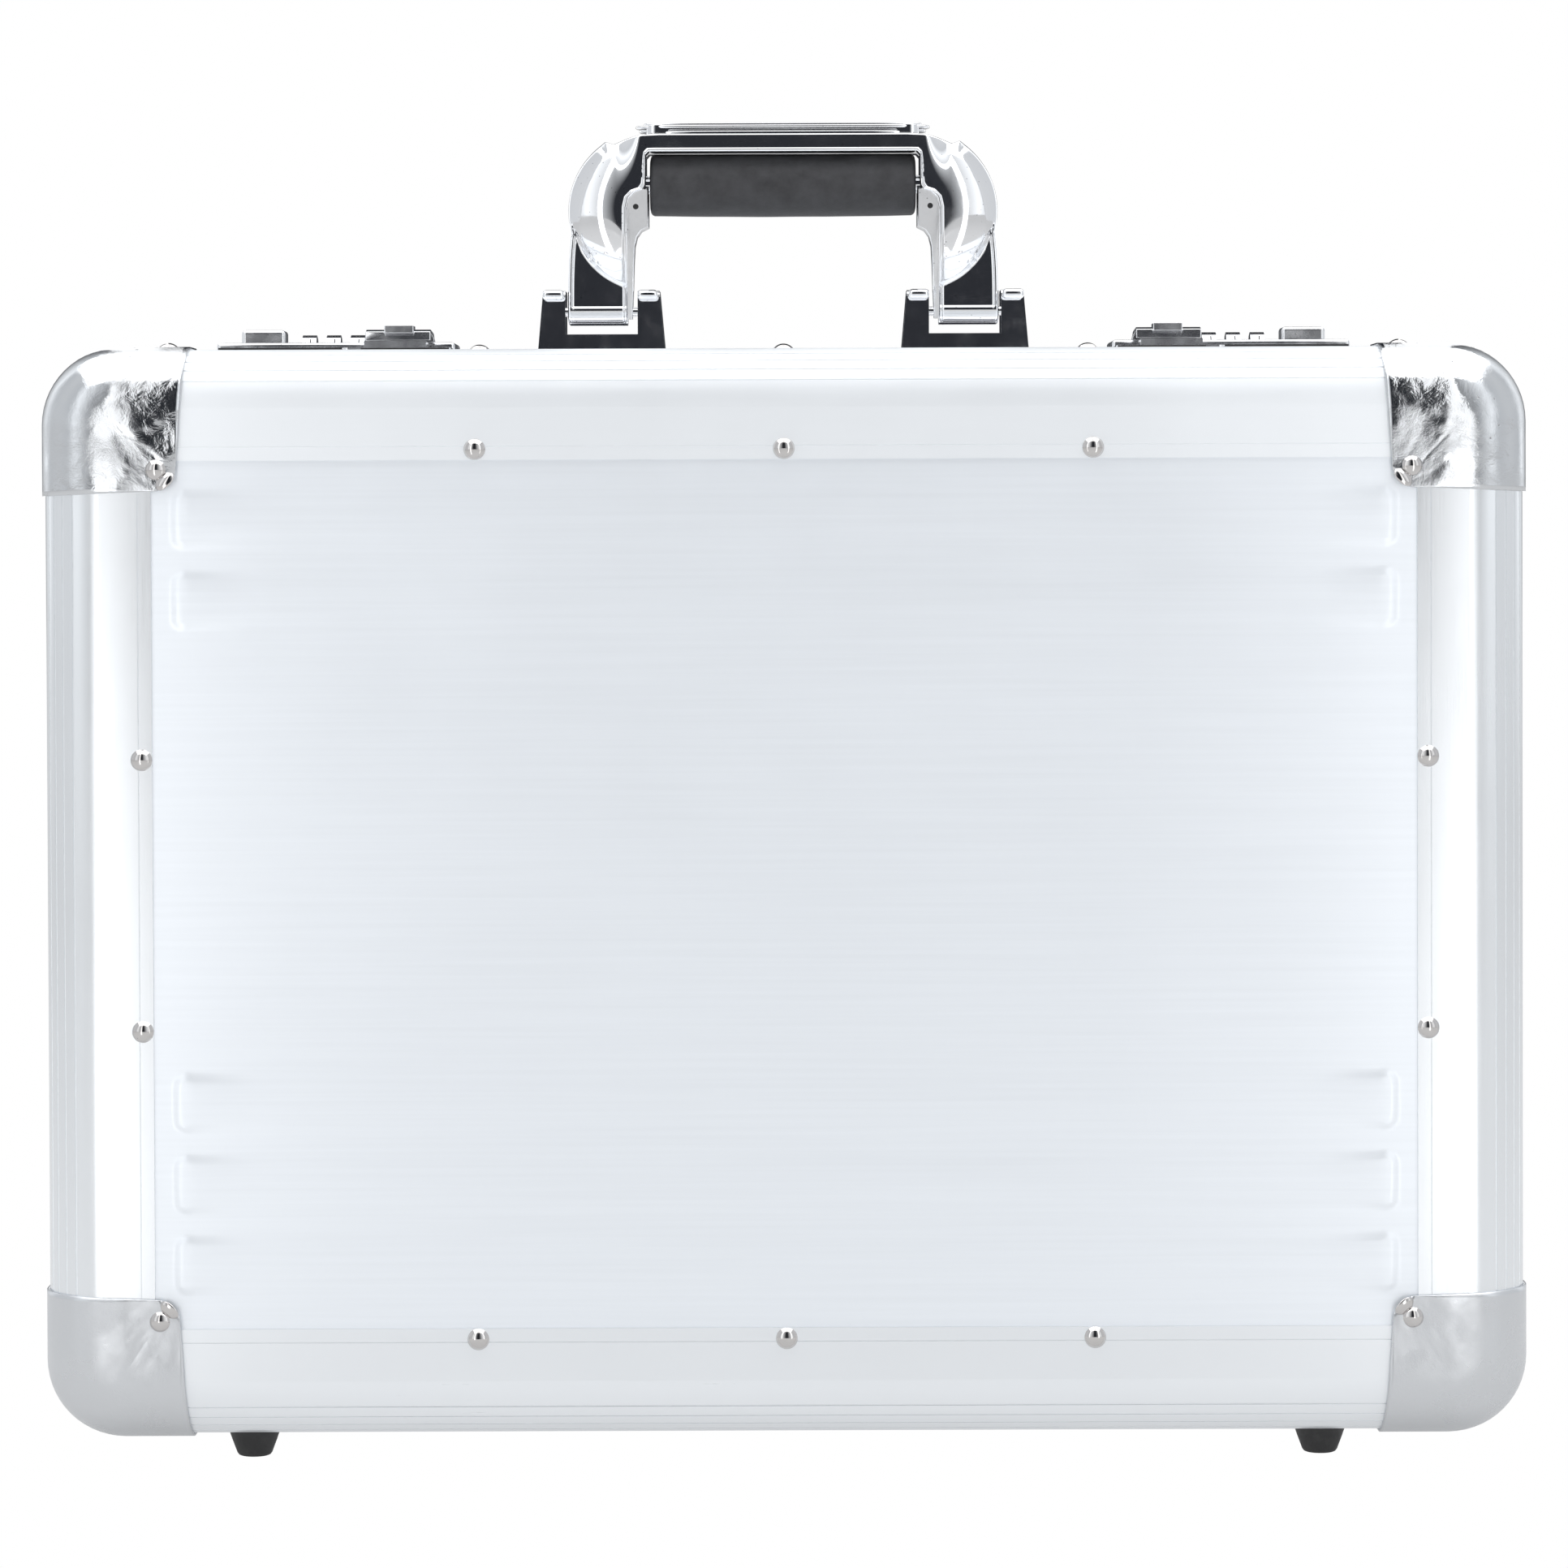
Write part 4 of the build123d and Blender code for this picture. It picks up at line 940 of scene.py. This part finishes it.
SEGMENTS = {"a": (-0.5, 1.0, 0.5, 1.0), "b": (0.5, 1.0, 0.5, 0.0), "c": (0.5, 0.0, 0.5, -1.0),
            "d": (-0.5, -1.0, 0.5, -1.0), "e": (-0.5, 0.0, -0.5, -1.0), "f": (-0.5, 1.0, -0.5, 0.0),
            "g": (-0.5, 0.0, 0.5, 0.0)}
STROKE = 0.17               # half the width of a stroke
DIAL_APOTHEM = 4.946
DIGITS = ("abcdef", "bc", "abged", "abgcd", "fgbc", "afgcd", "afgedc", "abc", "abcdefg", "abcdfg")


def digits(side_name, index):
    """Ten plain figures painted round a dial, one on each facet."""
    node = f"dial_{side_name}_{index + 1}"
    low, high = box_mm(node)
    middle = (low + high) / 2
    reach = high.z - middle.z
    pitch = pi / 5
    phase = 0.0 if reach < 5.1 else pitch / 2
    build = Build()
    for digit, strokes in enumerate(DIGITS):
        angle = phase + pitch * digit
        up = Vector((0, -sin(angle), cos(angle)))
        side = Vector((0, cos(angle), sin(angle)))
        for stroke in strokes:
            x0, v0, x1, v1 = (0.95 * c for c in SEGMENTS[stroke])
            cx, cv = (x0 + x1) / 2, (v0 + v1) / 2
            half_x, half_v = abs(x1 - x0) / 2 + STROKE, abs(v1 - v0) / 2 + STROKE
            rings = []
            for lift in (0.0, 0.035):
                ring = []
                for du, dv in ((-1, -1), (1, -1), (1, 1), (-1, 1)):
                    flat = Vector((middle.x + cx + du * half_x, middle.y, middle.z))
                    ring.append(flat + side * (cv + dv * half_v) + up * (DIAL_APOTHEM + lift))
                rings.append(ring)
            build.grid(rings, close_columns=True)
            build.faces.append(tuple(range(len(build.points) - 4, len(build.points))))
    build.finish(f"{node}_figures", "rubber", node)


for side_name, sx in SIDES.items():
    bevel(f"handle_bracket_{side_name}", 1.0)
    bevel(f"lock_case_{side_name}", 0.35)
    bevel(f"hasp_{side_name}", 0.3)
    bevel(f"strike_plate_{side_name}", 0.35)
    bevel(f"lid_stay_{side_name}", 0.3)
    bracket_hems(side_name, sx)
    plate_shadow_strips(side_name, sx)
    for index in range(3):
        bevel(f"dial_{side_name}_{index + 1}", 0.2)
        digits(side_name, index)
bevel("hinge_leaf_lid", 0.15)
bevel("hinge_leaf_base", 0.15)


# ---------------------------------------------------------------- interior

def dense(outline, step=5.0, pieces=36):
    """An outline with its long straight sides divided."""
    points = []
    for i, (u, v) in enumerate(outline):
        next_u, next_v = outline[(i + 1) % len(outline)]
        points.append((u, v))
        if hypot(next_u - u, next_v - v) > step:
            for k in range(1, pieces):
                points.append((lerp(u, next_u, k / pieces), lerp(v, next_v, k / pieces)))
    return points


def tray(half_name, inward):
    """The cloth tray of one half: piped mouth, slightly slack walls and a rounded foot."""
    node = f"{half_name}_lining"
    low, high = box_mm(node)
    mouth = high.y if inward > 0 else low.y
    deep = high.y - low.y
    foot = 6.5
    rows = [(8.0, deep - 0.2), (2.4, deep - 1.6), (0.4, deep - 6.0), (0.3, 3.0), (0.3, 1.0), (0.6, 0.35),
            (1.0, 0.3), (1.45, 0.7), (1.6, 1.4), (1.4, 2.2), (1.05, 2.7), (1.3, 3.6)]
    walls = 10
    centre = Vector((0, 0, (low.z + high.z) / 2))
    rows += [(1.3, lerp(3.6, deep - 1.5 - foot, i / walls)) for i in range(1, walls + 1)]
    for i in range(1, 7):
        angle = pi / 2 * i / 6
        rows.append((1.3 + foot * (1 - cos(angle)), deep - 1.5 - foot * (1 - sin(angle))))
    rows.append((24.0, deep - 1.5))
    build = Build()
    grid = []
    for inset, depth in rows:
        ring = dense(rounded_rectangle(low.x + inset, high.x - inset, low.z + inset, high.z - inset,
                                       max(17.4 - inset, 4.0), 8))
        row = []
        for x, z in ring:
            slack = noise.noise(Vector((x * 0.022, depth * 0.05, z * 0.022 + 5 * inward)))
            fine = noise.noise(Vector((x * 0.11, depth * 0.13, z * 0.11)))
            give = -abs(0.55 * slack + 0.12 * fine) * smooth_step(depth, 4, 14) * (inset > 1)
            pull = (centre - Vector((x, 0, z))).normalized() * give
            row.append(Vector((x + pull.x, mouth - inward * depth, z + pull.z)))
        grid.append(row)
    build.grid(grid, close_columns=True)
    piece = build.finish(f"{half_name}_cloth_tray", "lining", node, [node], smooth=60)
    pad = Build()
    base = mouth - inward * (deep - 1.5)
    xs = fine_lines(low.x + 9, high.x - 9, 7.0, (low.x + 9, high.x - 9), 1.2, 5.0)
    zs = fine_lines(low.z + 9, high.z - 9, 7.0, (low.z + 9, high.z - 9), 1.2, 5.0)
    top, under = [], []
    for z in zs:
        line, below = [], []
        for x in xs:
            edge = min(x - xs[0], xs[-1] - x, z - zs[0], zs[-1] - z)
            crown = 0.15 + 0.75 * sqrt(min(1.0, edge / 4.0))
            crown += 0.12 * noise.noise(Vector((x, z, 3)) * 0.02)
            line.append(Vector((x, base + inward * crown, z)))
            below.append(Vector((x, base + inward * 0.02, z)))
        top.append(line)
        under.append(below)
    pad.grid(top)
    pad.grid(under)
    piece = pad.finish(f"{half_name}_floor_pad", "lining", node, smooth=60)


STITCH_PITCH = 4.6
STITCH = ((-1.6, 0.05, -0.1), (-1.2, 0.24, 0.12), (0.0, 0.3, 0.25), (1.2, 0.24, 0.12), (1.6, 0.05, -0.1))


def organiser():
    """Leatherette document pocket with a piped mouth and sewn borders."""
    node = "lid_organiser"
    low, high = box_mm(node)
    skin = 2.0
    xs = fine_lines(low.x, high.x, 6.0, (low.x, high.x), 0.7, 4.2)
    zs = fine_lines(low.z, high.z, 6.0, (low.z, high.z), 0.7, 4.2)

    def bulge(x, z):
        edge = min(x - low.x, high.x - x, z - low.z)
        soft = rounded_drop(min(edge, high.z - z), 1.1)
        seam = 0.35 * max(0.0, 1 - abs(edge - 5.0) / 1.1)
        belly = 0.8 * smooth_step(edge, 6.0, 60.0) * smooth_step(high.z - z, -30.0, 40.0)
        return belly - seam - soft + 0.25 * noise.noise(Vector((x * 0.013, z * 0.02, 1.0)))

    build = Build()
    front = [[Vector((x, high.y - 0.4 + bulge(x, z), z)) for x in xs] for z in zs]
    back = [[Vector((x, high.y - skin, z)) for x in xs] for z in zs]
    build.grid(front)
    build.grid(back)
    for i in (0, -1):
        build.grid([front[i], back[i]])
    for i in (0, -1):
        build.grid([[row[i] for row in front], [row[i] for row in back]])
    for x0, x1, z0, z1 in ((low.x, low.x + skin, low.z, high.z), (high.x - skin, high.x, low.z, high.z),
                           (low.x + skin, high.x - skin, low.z, low.z + skin)):
        gusset = [(x0, z0), (x1, z0), (x1, z1), (x0, z1)]
        rings = [[Vector((x, y, z)) for x, z in gusset] for y in (low.y, high.y - skin)]
        build.grid(rings, close_columns=True)
    pocket = build.finish("document_pocket", "organiser", node, [node], smooth=45)
    piping = Build()
    rows = []
    for x in xs:
        row = []
        for k in range(14):
            angle = 2 * pi * k / 14
            row.append(Vector((x, high.y - 0.9 + 1.25 * cos(angle), high.z - 0.6 + 1.25 * sin(angle))))
        rows.append(row)
    piping.grid(rows, close_columns=True)
    for row in (rows[0], rows[-1]):
        piping.fan(row, sum(row, Vector()) / len(row))
    welt = piping.finish("document_pocket_piping", "organiser", node, smooth=60)
    stitches = Build()
    lines = ((low.x + 5, low.z + 5, high.x - 5, low.z + 5), (low.x + 5, low.z + 5, low.x + 5, high.z - 5),
             (high.x - 5, low.z + 5, high.x - 5, high.z - 5), (low.x + 5, high.z - 5, high.x - 5, high.z - 5))
    for x0, z0, x1, z1 in lines:
        length = hypot(x1 - x0, z1 - z0)
        count = round(length / STITCH_PITCH)
        way = Vector(((x1 - x0) / length, 0, (z1 - z0) / length))
        across = Vector((-way.z, 0, way.x))
        for i in range(count):
            middle = Vector((x0, 0, z0)) + way * STITCH_PITCH * (i + 0.5)
            rings = []
            for reach, wide, lift in STITCH:
                spot = middle + way * reach
                face = high.y - 0.4 + bulge(spot.x, spot.z)
                ring = []
                for k in range(6):
                    angle = 2 * pi * k / 6
                    above = Vector((spot.x, face + lift + wide * sin(angle), spot.z))
                    ring.append(above + across * wide * cos(angle))
                rings.append(ring)
            stitches.grid(rings, close_columns=True)
    stitches.finish("document_pocket_stitches", "thread", node, smooth=60)


for half_name, inward in HALVES.items():
    tray(half_name, inward)
organiser()


# ---------------------------------------------------------------- studio

FLOOR = 14.0                # half its width, in metres
FLOOR_GLOW = 0.42
TENT = ((0.055, (0.028, 0.030, 0.036)), (0.075, (1.20, 1.23, 1.26)), (0.28, (1.20, 1.23, 1.26)),
        (0.35, (0.65, 0.67, 0.695)))      # by bearing from the Y axis, as a share of pi
CARD_EDGE = 0.237
CARD_WIDTH = 0.06
CARD_Y = 0.335
CARD_RADIANCE = 1.3
TOP_RADIANCE = 1.4
FILL_RADIANCE = 1.85


def studio_floor():
    """A pale floor that only reflections and bounced light see: the opened lid swings below it."""
    mesh = bpy.data.meshes.new("floor")
    mesh.from_pydata([(-FLOOR, -FLOOR, 0), (FLOOR, -FLOOR, 0), (FLOOR, FLOOR, 0), (-FLOOR, FLOOR, 0)],
                     [], [(0, 1, 2, 3)])
    floor = bpy.data.objects.new("floor", mesh)
    bpy.context.scene.collection.objects.link(floor)
    paint = Shader("floor_white", 0.0, 0.9, (0.3, 0.3, 0.3))
    paint.bsdf.inputs["Specular IOR Level"].default_value = 0.0
    paint.bsdf.inputs["Emission Color"].default_value = (1, 1, 1, 1)
    paint.bsdf.inputs["Emission Strength"].default_value = FLOOR_GLOW
    path = paint.tree.nodes.new("ShaderNodeLightPath")
    direct = paint.tree.nodes.new("ShaderNodeMath")
    direct.operation = "MAXIMUM"
    paint.link(path.outputs["Is Camera Ray"], direct.inputs[0])
    paint.link(path.outputs["Is Shadow Ray"], direct.inputs[1])
    paint.link(paint.span(direct.outputs["Value"], 0, 1, 1, 0), paint.bsdf.inputs["Alpha"])
    mesh.materials.append(paint.material)


def soft_box(name, place, target, width, height, radiance, mirrored=True):
    """An area light of a given radiance; mirrored says whether reflections show it."""
    light = bpy.data.lights.new(name, "AREA")
    light.shape = "RECTANGLE"
    light.size = width
    light.size_y = height
    light.energy = radiance * pi * width * height
    lamp = bpy.data.objects.new(name, light)
    bpy.context.scene.collection.objects.link(lamp)
    lamp.location = place
    lamp.rotation_euler = (Vector(target) - Vector(place)).to_track_quat("-Z", "Y").to_euler()
    lamp.visible_camera = False
    lamp.visible_glossy = mirrored


def studio_world():
    """White to the camera; to the object, a grey tent with a dark slot to the front and the back."""
    world = bpy.data.worlds.new("studio")
    bpy.context.scene.world = world
    world.use_nodes = True
    tree = world.node_tree
    nodes, links = tree.nodes, tree.links
    nodes.clear()

    def maths(operation, first, second=None):
        node = nodes.new("ShaderNodeMath")
        node.operation = operation
        for socket, value in zip(node.inputs, (first, second)):
            if value is None:
                continue
            if isinstance(value, (int, float)):
                socket.default_value = value
            else:
                links.new(value, socket)
        return node.outputs["Value"]

    way = nodes.new("ShaderNodeSeparateXYZ")
    links.new(nodes.new("ShaderNodeTexCoord").outputs["Generated"], way.inputs["Vector"])
    across = maths("ABSOLUTE", way.outputs["X"])
    deep = maths("ABSOLUTE", way.outputs["Y"])
    bearing = maths("ARCTAN2", across, deep)
    slot = nodes.new("ShaderNodeValToRGB")
    stops = slot.color_ramp.elements
    for element, (position, tone) in zip((stops[0], stops[1], stops.new(0.9), stops.new(0.95)), TENT):
        element.position = position
        element.color = (*tone, 1)
    links.new(maths("DIVIDE", bearing, pi), slot.inputs["Fac"])
    tent = nodes.new("ShaderNodeBackground")
    links.new(slot.outputs["Color"], tent.inputs["Color"])
    white = nodes.new("ShaderNodeBackground")
    white.inputs["Color"].default_value = (1, 1, 1, 1)
    path = nodes.new("ShaderNodeLightPath")
    mix = nodes.new("ShaderNodeMixShader")
    links.new(path.outputs["Is Camera Ray"], mix.inputs["Fac"])
    links.new(tent.outputs["Background"], mix.inputs[1])
    links.new(white.outputs["Background"], mix.inputs[2])
    out = nodes.new("ShaderNodeOutputWorld")
    links.new(mix.outputs["Shader"], out.inputs["Surface"])


def camera():
    data = bpy.data.cameras.new("camera")
    data.sensor_width = 36.0
    data.lens = 126.55
    data.shift_y = -0.101
    data.clip_start = 0.05
    data.clip_end = 50.0
    cam = bpy.data.objects.new("camera", data)
    bpy.context.scene.collection.objects.link(cam)
    cam.location = (0.0, -1.775, 0.295)
    cam.rotation_euler = (radians(90 - 1.15), radians(0.2), 0)
    bpy.context.scene.camera = cam


def light_up():
    studio_floor()
    studio_world()
    for side, sx in SIDES.items():
        for way, sy in (("front", -1), ("back", 1)):
            middle = sx * (CARD_EDGE + CARD_WIDTH / 2)
            place = (middle, sy * CARD_Y, 0.55)
            soft_box(f"{way}_{side}", place, (middle, 0, 0.55), CARD_WIDTH, 1.3, CARD_RADIANCE)
    soft_box("top", (0, 0, 1.7), (0, 0, 0), 2.6, 2.2, TOP_RADIANCE)
    soft_box("fill", (0, -3.0, 0.4), (0, 0, 0.2), 2.0, 2.0, FILL_RADIANCE, mirrored=False)
    scene = bpy.context.scene
    scene.view_settings.view_transform = "Standard"
    scene.cycles.use_denoising = True


camera()
light_up()
